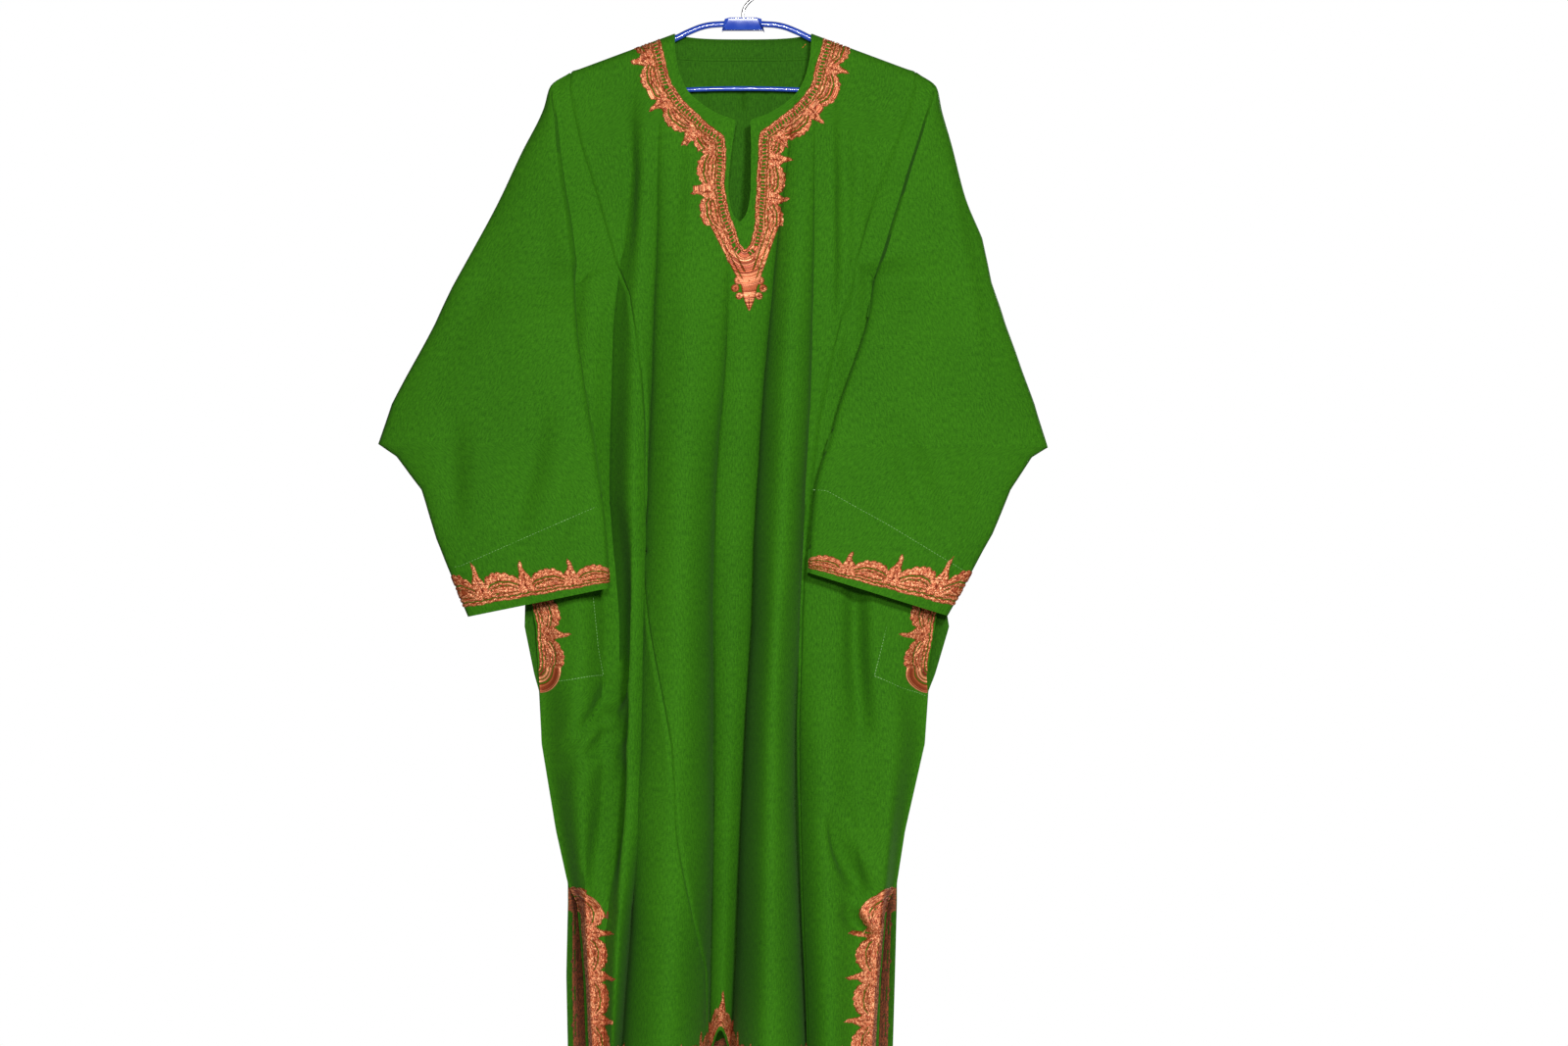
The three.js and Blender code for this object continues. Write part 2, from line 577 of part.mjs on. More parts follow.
const arm = (sign) => tube(ARM_LINE.map(({ x, z }) => new THREE.Vector3(sign * x, 0, z)), ARM_RADIUS, 30, 10);
const bar = () => tube(BAR_LINE.map(({ x, z }) => new THREE.Vector3(x, 0, z)), BAR_RADIUS, 16, 8);

function boss() {
  const { width, height, depth, top } = BOSS;
  const round = 3;
  const shape = new THREE.Shape();
  const [x, z] = [width / 2, height / 2];
  shape.moveTo(-x + round, -z);
  shape.lineTo(x - round, -z);
  shape.absarc(x - round, -z + round, round, -Math.PI / 2, 0);
  shape.lineTo(x, z - round);
  shape.absarc(x - round, z - round, round, 0, Math.PI / 2);
  shape.lineTo(-x + round, z);
  shape.absarc(-x + round, z - round, round, Math.PI / 2, Math.PI);
  shape.lineTo(-x, -z + round);
  shape.absarc(-x + round, -z + round, round, Math.PI, Math.PI * 1.5);
  const geometry = new THREE.ExtrudeGeometry(shape, { depth, bevelEnabled: false, curveSegments: 3 });
  geometry.translate(0, 0, -depth / 2);
  geometry.rotateX(Math.PI / 2);
  geometry.translate(0, 0, top - height / 2);
  return geometry;
}

function hook() {
  const radius = HOOK_INSIDE + HOOK_WIRE;
  const centre = -HOOK_INSIDE;
  const stem = [new THREE.Vector3(0, 0, BOSS.top + 0.3), new THREE.Vector3(0, 0, -52), new THREE.Vector3(3, 0, -45)];
  const round = [];
  for (let angle = -50; angle <= 205; angle += 15) {
    const turn = THREE.MathUtils.degToRad(angle);
    round.push(new THREE.Vector3(radius * Math.cos(turn), 0, centre + radius * Math.sin(turn)));
  }
  return tube([...stem, ...round], HOOK_WIRE, 44, 8);
}

// ---------------------------------------------------------------- the whole robe
const GREEN = new THREE.MeshStandardMaterial({ color: 0x2f701a, roughness: 0.85, metalness: 0 });
const BLUE = new THREE.MeshStandardMaterial({ color: 0x2a50b4, roughness: 0.25, metalness: 0 });
const STEEL = new THREE.MeshStandardMaterial({ color: 0xb8bcc2, roughness: 0.3, metalness: 1 });

const robe = new THREE.Group();
function add(name, geometry, material) {
  const mesh = new THREE.Mesh(geometry, material);
  mesh.name = name;
  robe.add(mesh);
}

add('front_panel', centrePanel(FRONT, FRONT_ROWS, STEPS.front), GREEN);
add('back_panel', centrePanel(BACK, BACK_ROWS, STEPS.back), GREEN);
for (const which of ['right', 'left']) {
  add(`gore_front_${which}`, gore(FRONT, which, STEPS.front), GREEN);
  add(`gore_back_${which}`, gore(BACK, which, STEPS.back), GREEN);
  add(`sleeve_${which}_front`, sleeveHalf(which, -1), GREEN);
  add(`sleeve_${which}_back`, sleeveHalf(which, 1), GREEN);
  add(`pocket_bag_${which}`, pocketBag(which), GREEN);
}
add('neck_facing', neckFacing(), GREEN);
add('hanger_arm_right', arm(-1), BLUE);
add('hanger_arm_left', arm(1), BLUE);
add('hanger_bar', bar(), BLUE);
add('hanger_boss', boss(), BLUE);
add('hanger_hook', hook(), STEEL);

export default robe;
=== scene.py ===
"""The looks of a pheran, a long loose robe, on a plain plastic hanger.

Metres, +Z up. The front of the robe faces -Y, the wearer's right is at -X and the left at +X, and the origin
is the inside top of the hanger's hook. The tailor's sizes below are in millimetres, and cloth_mesh and
relief_mesh turn them into metres.

The cloth is made from sheets of points: each panel follows the folds that FRONT_FOLDS and BACK_FOLDS list,
and gets its creases, its seams and its thickness here. The metal thread work lies on it as its own relief.
"""

from __future__ import annotations

import logging
import math
from dataclasses import dataclass, field, replace
from enum import Enum
from typing import Callable

import bpy
import numpy as np
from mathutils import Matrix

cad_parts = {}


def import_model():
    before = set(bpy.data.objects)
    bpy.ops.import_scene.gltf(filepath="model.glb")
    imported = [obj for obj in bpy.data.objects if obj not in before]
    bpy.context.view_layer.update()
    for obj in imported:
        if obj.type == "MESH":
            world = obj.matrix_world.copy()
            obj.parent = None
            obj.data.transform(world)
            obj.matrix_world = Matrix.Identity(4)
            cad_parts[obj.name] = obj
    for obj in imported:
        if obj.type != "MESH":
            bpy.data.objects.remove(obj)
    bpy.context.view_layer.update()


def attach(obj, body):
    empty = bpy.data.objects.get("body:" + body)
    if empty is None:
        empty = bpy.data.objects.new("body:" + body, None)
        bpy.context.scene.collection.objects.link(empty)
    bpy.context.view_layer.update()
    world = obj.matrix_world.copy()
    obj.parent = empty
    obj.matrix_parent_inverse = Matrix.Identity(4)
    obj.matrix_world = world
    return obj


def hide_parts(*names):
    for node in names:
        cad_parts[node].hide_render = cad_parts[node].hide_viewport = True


LOG = logging.getLogger("pheran")
Array = np.ndarray
Thing = bpy.types.Object
Mesh = bpy.types.Mesh
Material = bpy.types.Material
NodeTree = bpy.types.NodeTree
Node = bpy.types.Node
Socket = bpy.types.NodeSocket
Pair = tuple[float, float]
Triple = tuple[float, float, float]
Path = tuple[Pair, ...]
Table = tuple[tuple[float, ...], ...]
MM = 0.001


class Layer(Enum):
    """The two layers of the robe, by the side of the middle plane that they lie on."""

    FRONT = -1
    BACK = 1


class Hand(Enum):
    """The wearer's two sides, by the sign of X."""

    RIGHT = -1
    LEFT = 1

    @property
    def word(self) -> str:
        """The side's name as the nodes spell it."""
        return self.name.lower()


# ---- the tailor's sizes, in millimetres
NECK_HALF = 76.0
NECK_Z = -76.0
SHOULDER_END = (212.0, -126.5)
SHOULDER_ROLL = 14.0
SLIT_TOP_Z = -1019.0
HEM_Z = -1231.0
HEM_LIFT = 46.0
WALL = 1.5
SEAM_GAP = 0.6
LAYER_GAP = 0.4
BACK_NECK_DIP = 5.0
UNDERARM: dict[Hand, Pair] = {Hand.RIGHT: (-188, -354), Hand.LEFT: (146, -347)}
CROSS_SEAM_Z = -333.0
GORE_ROW_Z = -366.0
# The heights at which each fold's place is given.
STATIONS = (-146, -292, -421, -619, -735, -864, -1231)
# How far a layer stands from the middle plane where both lie flat together.
FLAT = WALL + SEAM_GAP / 2


@dataclass(frozen=True)
class Fold:
    """A crown or a valley that runs down the robe.

    Args:
        sharp: how crisp a valley is, from 0 to 1.
        x: where the fold lies at each of STATIONS.
        out: how far it stands out from the robe's middle plane there.
    """

    sharp: float
    x: tuple[float, ...]
    out: tuple[float, ...]


FRONT_FOLDS = (
    Fold(0, (-194, -166, -171, -181, -187, -181, -162), (10, 7, 12, 16, 20, 34, 46)),
    Fold(0.3, (-119, -131, -145, -149, -145, -149, -153), (11, 7, 1, -4, 0, 26, 40)),
    Fold(0, (-104, -111, -119, -122, -124, -127, -145), (14, 24, 30, 38, 44, 50, 66)),
    Fold(0.8, (-92, -95, -100, -106, -108, -111, -137), (14, 18, 18, 18, 18, 18, 12)),
    Fold(0, (-56, -58, -63, -69, -71, -73, -86), (16, 34, 45, 56, 62, 68, 82)),
    Fold(0.85, (-14, -15, -19, -32, -33, -33, -39), (15, 31, 22, 8, 2, -6, -30)),
    Fold(0, (-1, 4, 0, -11, -13, -16, -27), (16, 32, 28, 16, 12, 6, -18)),
    Fold(0.8, (58, 40, 27, 13, 9, 2, -14), (14, 20, 14, 2, -4, -12, -38)),
    Fold(0, (69, 62, 52, 43, 37, 32, 28), (16, 36, 50, 64, 70, 76, 90)),
    Fold(0.9, (80, 79, 77, 67, 62, 58, 71), (15, 24, 22, 16, 12, 10, 4)),
    Fold(0, (97, 99, 99, 94, 94, 91, 97), (14, 26, 24, 18, 22, 46, 66)),
    Fold(0.1, (114, 119, 119, 119, 124, 127, 123), (10, 16, 17, 15, 17, 30, 46)),
    Fold(0, (194, 143, 140, 159, 170, 164, 138), (10, 8, 12, 15, 20, 36, 50)),
)
BACK_FOLDS = (
    Fold(0, (-181, -164, -162, -179, -186, -179, -168), (9, 9, 16, 32, 38, 42, 50)),
    Fold(0.2, (-127, -127, -127, -138, -143, -143, -143), (10, 9, 8, 10, 12, 18, 38)),
    Fold(0, (-84, -89, -93, -102, -106, -108, -114), (13, 24, 31, 42, 48, 54, 68)),
    Fold(0.5, (-46, -50, -56, -65, -69, -73, -86), (12, 17, 18, 20, 24, 30, 54)),
    Fold(0, (-1, -4, -11, -17, -19, -24, -39), (14, 28, 36, 50, 58, 64, 78)),
    Fold(0.5, (45, 41, 35, 30, 28, 24, 6), (12, 17, 18, 19, 22, 28, 52)),
    Fold(0, (86, 82, 73, 73, 73, 67, 48), (13, 24, 31, 42, 48, 54, 68)),
    Fold(0.2, (126, 119, 110, 117, 121, 112, 89), (10, 9, 8, 10, 12, 18, 38)),
    Fold(0, (180, 146, 140, 162, 173, 160, 132), (9, 9, 16, 32, 38, 42, 50)),
)
# Height, then the front's right and left edge, how far the front stands out there, and the same of the back.
SIDE_EDGES = (
    (-146, -214, 213, 6, -214, 213, 6),
    (-292, -195, 165, 4, -195, 165, 4),
    (-354, -188, 146, FLAT, -188, 146, FLAT),
    (-421, -200, 163, FLAT, -200, 163, FLAT),
    (-508, -214, 181, FLAT, -214, 181, FLAT),
    (-619, -231, 205, FLAT, -231, 205, FLAT),
    (-691, -239, 220, FLAT, -242, 222, FLAT),
    (-735, -230, 213, 4.5, -243, 229, FLAT),
    (-789, -227, 204, 4, -232, 213, FLAT),
    (-806, -226, 205, FLAT, -227, 206, FLAT),
    (-864, -224, 202, FLAT, -224, 202, FLAT),
    (-961, -208, 180, FLAT, -208, 180, FLAT),
    (SLIT_TOP_Z, -195, 171, FLAT, -195, 171, FLAT),
    (-1042, -184, 160, 7, -195, 171, 4),
    (-1123, -177, 153, 10, -197, 169, 9),
    (HEM_Z, -173, 149, 12, -195, 166, 12),
)
# Height, then the armhole's x on the wearer's right and left.
ARMHOLE = (
    (-76, -192, 195),
    (-136, -192, 192),
    (-159, -189, 186),
    (-199, -180.5, 171),
    (-255, -163, 149),
    (-290, -153, 138),
    (CROSS_SEAM_Z, -141, 125),
)
# Height, then the fold number that the seam between panel and gore lies on, right and left.
FRONT_SEAMS = (
    (GORE_ROW_Z, 2.6, 12),
    (-400, 2.9, 11.55),
    (-427, 3.2, 11.15),
    (-454, 3.5, 10.8),
    (-508, 3.8, 10.4),
    (-619, 3.92, 10.12),
    (-691, 4.08, 10.08),
    (-735, 4.25, 10.08),
    (-864, 4.85, 10.12),
    (-911, 4.97, 10.12),
    (-958, 5.12, 10.12),
    (-1041, 5.5, 10.12),
    (-1123, 5.9, 10.12),
    (HEM_Z, 5.97, 10.12),
)
BACK_SEAMS = (
    (GORE_ROW_Z, 1.85, 8.15),
    (-400, 2.1, 7.9),
    (-454, 2.45, 7.55),
    (-508, 2.75, 7.25),
    (-735, 3.05, 6.95),
    (HEM_Z, 3.6, 6.4),
)
# The neck's opening: its half width at falling heights, and how far the slit leans to the right.
NECK_HEIGHTS = (NECK_Z, -101, -122, -141, -156, -166.5, -175, -205, -249, -271, -282, -287.5)
NECK_HALVES = (NECK_HALF, 74.5, 70, 61, 45, 28, 8.2, 10.6, 12.2, 9.6, 5.6, 0)
SLIT_LEAN = -3.6
# The front's middle valley, by its fold number, and the foot of the neck's slit.
MIDDLE_FOLD = 7
SLIT_FOOT_Z = -287.5


# ---- curves and grids
def straight(z: Array, rows: Table, column: int) -> Array:
    """A column of a table of heights, run straight from row to row.

    Args:
        z: the heights asked for.
        rows: the table, with the height first in each row, from the top down.
        column: which column to read.

    Returns:
        The column's value at each height.
    """
    heights = np.array([row[0] for row in rows], float)[::-1]
    return np.interp(z, heights, np.array([row[column] for row in rows], float)[::-1])


def smooth(z: Array, stations: tuple[float, ...], values: tuple[float, ...]) -> Array:
    """A smooth curve through the values at falling stations, with no overshoot.

    Args:
        z: the places asked for.
        stations: the places at which the values are given, from the top down.
        values: the values there.

    Returns:
        The value at each place.
    """
    s = -np.asarray(stations, float)
    v = np.asarray(values, float)
    x = np.clip(-np.asarray(z, float), s[0], s[-1])
    step = np.diff(v) / np.diff(s)
    before, after = np.concatenate([step[:1], step]), np.concatenate([step, step[-1:]])
    both = before * after
    slope = np.where(both <= 0, 0, 2 * both / np.where(both <= 0, 1, before + after))
    i = np.clip(np.searchsorted(s, x, side="right") - 1, 0, len(step) - 1)
    width = s[i + 1] - s[i]
    f = (x - s[i]) / width
    rise = (1 - f) ** 2 * (v[i] * (1 + 2 * f) + slope[i] * width * f)
    return rise + f * f * (v[i + 1] * (3 - 2 * f) - slope[i + 1] * width * (1 - f))


def shoulder_z(x: Array) -> Array:
    """The shoulder line's height at a distance from the centre."""
    return np.interp(np.abs(x), (NECK_HALF, SHOULDER_END[0]), (NECK_Z, SHOULDER_END[1]))


def along_path(x: Array, z: Array, path: Path) -> tuple[Array, Array]:
    """Where places lie beside a path of straight runs.

    Args:
        x: the places' x.
        z: the places' z.
        path: the path's corners.

    Returns:
        How far along the path the nearest point is, and the distance from it, positive on the path's left.
    """
    best = np.full(np.shape(x), np.inf)
    along = np.zeros(np.shape(x))
    side = np.ones(np.shape(x))
    start = 0.0
    for (x0, z0), (x1, z1) in zip(path, path[1:]):
        dx, dz = x1 - x0, z1 - z0
        length = math.hypot(dx, dz)
        share = np.clip(((x - x0) * dx + (z - z0) * dz) / length**2, 0, 1)
        away = np.hypot(x - x0 - share * dx, z - z0 - share * dz)
        nearer = away < best - 1e-9
        best = np.where(nearer, away, best)
        along = np.where(nearer, start + share * length, along)
        side = np.where(nearer, np.sign(dx * (z - z0) - dz * (x - x0)), side)
        start += length
    return along, best * np.where(side == 0, 1, side)


def reach_of(points: Array) -> Array:
    """How far along a line of points each one is."""
    return np.concatenate([[0], np.cumsum(np.linalg.norm(np.diff(points, axis=0), axis=1))])


def place_at(at: float | Array, reach: Array, points: Array) -> Array:
    """The place, or places, at a distance along a line of points."""
    return np.stack([np.interp(at, reach, column) for column in points.T], -1)


def resample(path: Path, step: float) -> Array:
    """Points at an even step along a path.

    Args:
        path: the path's corners.
        step: the distance between points.

    Returns:
        The points, a row each.
    """
    corners = np.array(path, float)
    reach = reach_of(corners)
    at = np.linspace(0, reach[-1], max(int(reach[-1] / step), 2))
    return place_at(at, reach, corners)


def grid_normals(points: Array, hint: Array) -> Array:
    """Unit normals of a grid of points, turned to the side of the hint.

    Args:
        points: rows by columns of places.
        hint: rough outward directions, broadcast over the grid.

    Returns:
        The normals, in the grid's own shape.
    """
    n = np.cross(np.gradient(points, axis=1), np.gradient(points, axis=0))
    hint = hint / np.maximum(np.linalg.norm(hint, axis=-1, keepdims=True), 1e-9)
    hint = np.broadcast_to(hint, points.shape)
    length = np.linalg.norm(n, axis=-1, keepdims=True)
    n = np.where(length > 1e-6, n / np.maximum(length, 1e-6), hint)
    facing = np.sum(n * hint, axis=-1, keepdims=True)
    return np.where(facing < 0, -n, n)


@dataclass(frozen=True)
class Crease:
    """A soft trough with a low ridge beside it, or a ridge where depth is negative.

    Args:
        path: its line across the cloth, as x and z.
        width: half the trough's width.
        depth: how deep it is in the middle of its length.
    """

    path: Path
    width: float
    depth: float

    def relief(self, x: Array, z: Array) -> Array:
        """How far the crease moves the cloth outwards at each place.

        Args:
            x: the places' x.
            z: the places' z.

        Returns:
            Millimetres outwards at each place.
        """
        along, off = along_path(x, z, self.path)
        length = sum(math.dist(a, b) for a, b in zip(self.path, self.path[1:]))
        fade = np.sin(np.pi * np.clip(along / length, 0, 1)) ** 0.7
        trough = np.exp(-((off / self.width) ** 2))
        ridge = 0.45 * np.exp(-(((off - 2.0 * self.width) / (1.1 * self.width)) ** 2))
        return -self.depth * fade * (trough - ridge)


def unevenness(x: Array, z: Array) -> Array:
    """The slight waviness of hanging cloth, in millimetres.

    Args:
        x: the places' x.
        z: the places' z.

    Returns:
        Millimetres outwards at each place.
    """
    slow = np.sin(0.031 * x + 0.011 * z + 0.4) * np.sin(0.023 * z - 0.009 * x + 1.7)
    quick = np.sin(0.083 * x - 0.047 * z + 2.1) * np.sin(0.061 * z + 0.013 * x + 0.6)
    return 0.6 * slow + 0.22 * quick


FRONT_CREASES = (
    Crease(((-132, -768), (-143, -795), (-158, -825), (-181, -853), (-198, -873)), 7, 11),
    Crease(((-136, -837), (-160, -864), (-203, -897)), 11, 7),
    Crease(((-140, -880), (-144, -925), (-152, -961), (-162, -1005), (-173, -1032)), 14, 10),
    Crease(((-141, -600), (-141, -740), (-146, -900), (-154, -1070)), 19, 15),
    Crease(((-184, -118), (-187, -165)), 4, 3),
    Crease(((126, -135), (137, -195), (150, -232)), 6, 3.5),
    Crease(((159, -157), (170, -184)), 5, 2),
    Crease(((106, -150), (112, -230), (112, -330), (104, -420)), 9, 6),
    Crease(((-133, -130), (-126, -230), (-130, -330)), 9, 5),
    Crease(((-68, -150), (-70, -230), (-74, -330)), 8, 3),
    Crease(((124, -640), (125, -760), (132, -860)), 10, 14),
    Crease(((94, -935), (110, -980), (132, -1030)), 9, 15),
    Crease(((110, -1040), (138, -1078)), 7, 10),
    Crease(((-205, -700), (-190, -760), (-196, -800)), 8, 2.5),
    Crease(((-70, -330), (-78, -420), (-74, -520)), 12, 1.5),
    Crease(((60, -640), (48, -760), (52, -880)), 12, 1.5),
    Crease(((-60, -900), (-76, -1010), (-90, -1110)), 14, 2),
    Crease(((150, -760), (176, -800), (190, -850)), 10, 3),
    Crease(((-52, -150), (-50, -210), (-44, -262)), 7, 1.5),
)
BACK_CREASES = (
    Crease(((-110, -640), (-150, -690), (-196, -722)), 10, 4),
    Crease(((120, -660), (160, -712), (205, -740)), 10, 4),
    Crease(((-90, -140), (-96, -230), (-88, -320)), 8, 2.5),
    Crease(((96, -150), (104, -220), (98, -300)), 8, 2.5),
    Crease(((-30, -700), (-20, -820), (-34, -930)), 12, 2.5),
    Crease(((60, -860), (48, -980), (58, -1080)), 13, 3),
    Crease(((-143, -600), (-143, -740), (-146, -900), (-152, -1060)), 18, -9),
    Crease(((122, -890), (146, -940), (152, -1000)), 13, 5),
    Crease(((2, -104), (0, -150), (3, -215)), 3.2, -4.5),
    Crease(((21, -104), (24, -145), (20, -200)), 3.2, -4),
    Crease(((-40, -108), (-44, -150), (-38, -190)), 4, -3),
)


class BodySide:
    """The front or the back of the robe's body as a surface over fold number and height."""

    def __init__(self, layer: Layer, folds: tuple[Fold, ...], seams: Table,
                 creases: tuple[Crease, ...]) -> None:
        """Keeps the layer's folds, seams and creases.

        Args:
            layer: front or back.
            folds: its crowns and valleys.
            seams: heights and the seams' fold numbers.
            creases: its creases.
        """
        self.layer = layer
        self.sign = layer.value
        self.folds = folds
        self.seams = seams
        self.creases = creases
        self.last = len(folds) + 1
        self.sharp = np.array([0.0, *(fold.sharp for fold in folds), 0.0])
        self.column = 1 if layer is Layer.FRONT else 4

    def lines(self, z: Array) -> tuple[Array, Array]:
        """Each fold's x and its distance from the middle plane at the heights.

        Args:
            z: heights.

        Returns:
            The x and the distances, a row for each fold.
        """
        edges = [straight(z, SIDE_EDGES, self.column + i) for i in range(3)]
        xs = [edges[0], *(smooth(z, STATIONS, fold.x) for fold in self.folds), edges[1]]
        outs = [edges[2], *(smooth(z, STATIONS, fold.out) for fold in self.folds), edges[2]]
        return np.stack(xs), np.stack(outs)

    def point(self, t: Array, z: Array) -> Array:
        """The places on folds t at heights z, before any crease.

        Args:
            t: fold numbers.
            z: heights.

        Returns:
            The places, in millimetres.
        """
        t, z = np.broadcast_arrays(np.asarray(t, float), np.asarray(z, float))
        xs, outs = self.lines(z)
        k = np.clip(np.floor(t), 0, self.last - 1).astype(int)
        f = t - k

        def pick(table: Array, which: Array) -> Array:
            """The table's value for each place's own fold."""
            return np.take_along_axis(table, which[None], 0)[0]

        crown_first = k % 2 == 1
        crown, valley = np.where(crown_first, k, k + 1), np.where(crown_first, k + 1, k)
        away = np.where(crown_first, f, 1 - f)
        sharp = self.sharp[valley]
        shape = (1 - sharp) * (1 + np.cos(np.pi * away)) / 2 + sharp * np.sqrt(np.maximum(1 - away**2, 0))
        x = pick(xs, k) * (1 - f) + pick(xs, k + 1) * f
        out = pick(outs, valley) * (1 - shape) + pick(outs, crown) * shape
        bend = np.clip((shoulder_z(x) - z) / SHOULDER_ROLL, 0, 1)
        stand = np.maximum(out * np.sqrt(1 - (1 - bend) ** 2), np.where(bend > 0.9, -1e3, SEAM_GAP / 2))
        return np.stack([x, self.sign * stand, z], -1)

    def fold_at(self, x: Array, z: Array) -> Array:
        """The fold number at x and z.

        Args:
            x: the places' x.
            z: heights.

        Returns:
            The fold numbers.
        """
        x, z = np.broadcast_arrays(np.asarray(x, float), np.asarray(z, float))
        xs, _ = self.lines(z)
        k = np.clip(np.sum(xs[1:-1] <= x, axis=0), 0, self.last - 1)
        low = np.take_along_axis(xs, k[None], 0)[0]
        high = np.take_along_axis(xs, k[None] + 1, 0)[0]
        return k + np.clip((x - low) / np.maximum(high - low, 1e-6), 0, 1)

    def seam_fold(self, hand: Hand, z: Array) -> Array:
        """The fold number of the seam beside the centre panel.

        Args:
            hand: which seam.
            z: heights.

        Returns:
            The fold number at each height.
        """
        column = 1 if hand is Hand.RIGHT else 2
        upper = self.fold_at(straight(z, ARMHOLE, column), np.maximum(z, CROSS_SEAM_Z))
        lower = straight(z, self.seams, column)
        share = np.clip((CROSS_SEAM_Z - z) / (CROSS_SEAM_Z - self.seams[0][0]), 0, 1)
        return upper * (1 - share) + lower * share

    def row_heights(self, t: Array, z: Array, slope: Array) -> Array:
        """The true heights of rows that follow the shoulder's slope near the top and the lifted hem below.

        Args:
            t: fold numbers.
            z: the rows' heights at the neck.
            slope: how much of the shoulder's slope each row follows.

        Returns:
            The true heights.
        """
        real = z + 0 * t
        for _ in range(4):
            real = z + slope * (shoulder_z(self.point(t, real)[..., 0]) - NECK_Z)
        if self.layer is Layer.FRONT:
            return real + self.hem_lift(t, real)
        dip = BACK_NECK_DIP * np.clip(1 - (np.abs(self.point(t, real)[..., 0]) / NECK_HALF) ** 4, 0, 1)
        return real - dip * np.clip((z + 125) / 49, 0, 1)

    def hem_lift(self, t: Array, z: Array) -> Array:
        """How far the hem is drawn up in the middle valley of the front.

        Args:
            t: fold numbers.
            z: heights.

        Returns:
            The lift at each place.
        """
        if self.layer is Layer.BACK:
            return 0 * t
        share = np.clip((-864 - z) / (-864 - HEM_Z), 0, 1)
        return HEM_LIFT * np.exp(-(((t - MIDDLE_FOLD) / 0.95) ** 2)) * share * share * (3 - 2 * share)

    def across(self, t: Array, z: Array) -> Array:
        """How many millimetres of cloth there are to one fold number at a place."""
        return np.linalg.norm(self.point(t + 0.02, z) - self.point(t - 0.02, z), axis=-1) / 0.04

    def normal(self, t: Array, z: Array) -> Array:
        """Unit outward normals at folds t and heights z.

        Args:
            t: fold numbers.
            z: heights.

        Returns:
            The normals.
        """
        wide = self.point(t + 0.05, z) - self.point(t - 0.05, z)
        tall = self.point(t, z + 1.5) - self.point(t, z - 1.5)
        n = np.cross(wide, tall) * -self.sign
        n[..., 1] += self.sign * 1e-6
        return n / np.linalg.norm(n, axis=-1, keepdims=True) * np.where(n[..., 1:2] * self.sign < 0, -1, 1)

    def dressed(self, t: Array, z: Array, seam_away: Array | None = None) -> tuple[Array, Array]:
        """The places on the surface, moved by creases, waviness and the dip beside the seams.

        Args:
            t: fold numbers.
            z: heights.
            seam_away: how far each place is from the nearest seam, if that is known.

        Returns:
            The places and their normals.
        """
        points, n = self.point(t, z), self.normal(t, z)
        x, z = points[..., 0], points[..., 2]
        move = unevenness(x + 400 * self.sign, z) + sum(crease.relief(x, z) for crease in self.creases)
        move = move * np.clip((shoulder_z(x) - z) / 60, 0, 1)
        if seam_away is not None:
            dip = 1.5 * np.exp(-((seam_away / 1.7) ** 2))
            move = move - dip + 0.6 * np.exp(-(((seam_away - 4.4) / 2.3) ** 2))
        return points + n * move[..., None], n


FRONT = BodySide(Layer.FRONT, FRONT_FOLDS, FRONT_SEAMS, FRONT_CREASES)
BACK = BodySide(Layer.BACK, BACK_FOLDS, BACK_SEAMS, BACK_CREASES)


# ---- meshes
def place_object(name: str, mesh: Mesh, *materials: Material) -> Thing:
    """Puts a mesh in the scene on the robe's one body, smooth except along its rims.

    Args:
        name: the piece's name.
        mesh: its mesh.
        materials: its finishes, the outer one first.

    Returns:
        The piece.
    """
    mesh.polygons.foreach_set("use_smooth", np.ones(len(mesh.polygons), bool))
    mesh.set_sharp_from_angle(angle=math.radians(62))
    thing = bpy.data.objects.new(name, mesh)
    bpy.context.scene.collection.objects.link(thing)
    for material in materials:
        mesh.materials.append(material)
    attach(thing, "root")
    return thing


def quad_faces(index: Array, keep: Array | None) -> tuple[Array, Array]:
    """The quads and triangles of a grid of vertex numbers, in which some places may be the same.

    Args:
        index: the vertex numbers, rows by columns.
        keep: which cells are cloth, or None for all of them.

    Returns:
        The quads and the triangles.
    """
    cells = np.stack([index[:-1, :-1], index[:-1, 1:], index[1:, 1:], index[1:, :-1]], -1).reshape(-1, 4)
    if keep is not None:
        cells = cells[keep.reshape(-1)]
    same = cells == np.roll(cells, -1, axis=1)
    crossed = (cells[:, 0] == cells[:, 2]) | (cells[:, 1] == cells[:, 3])
    count = same.sum(axis=1)
    quads = cells[(count == 0) & ~crossed]
    three = cells[(count == 1) & ~crossed]
    drop = np.argmax(same[(count == 1) & ~crossed], axis=1)
    order = (drop[:, None] + 1 + np.arange(3)[None]) % 4
    return quads, np.take_along_axis(three, order, axis=1)


def vertex_normals(points: Array, quads: Array, triangles: Array) -> Array:
    """Unit normals of vertices, from the faces round them.

    Args:
        points: the vertices.
        quads: their quads.
        triangles: their triangles.

    Returns:
        A normal for each vertex.
    """
    n = np.zeros_like(points)
    for faces in (quads, triangles):
        if len(faces):
            one, other = points[faces[:, 2]] - points[faces[:, 0]], points[faces[:, -1]] - points[faces[:, 1]]
            across = np.cross(one, other)
            for corner in range(faces.shape[1]):
                np.add.at(n, faces[:, corner], across)
    return n / np.maximum(np.linalg.norm(n, axis=1, keepdims=True), 1e-9)


def set_uv(mesh: Mesh, uv: Array) -> None:
    """Gives a mesh a UV map named weave, in metres, from a value at each vertex.

    Args:
        mesh: the mesh.
        uv: a pair for each vertex.
    """
    corners = np.empty(len(mesh.loops), np.int32)
    mesh.loops.foreach_get("vertex_index", corners)
    layer = mesh.uv_layers.new(name="weave")
    layer.data.foreach_set("uv", uv[corners].astype(np.float32).ravel())


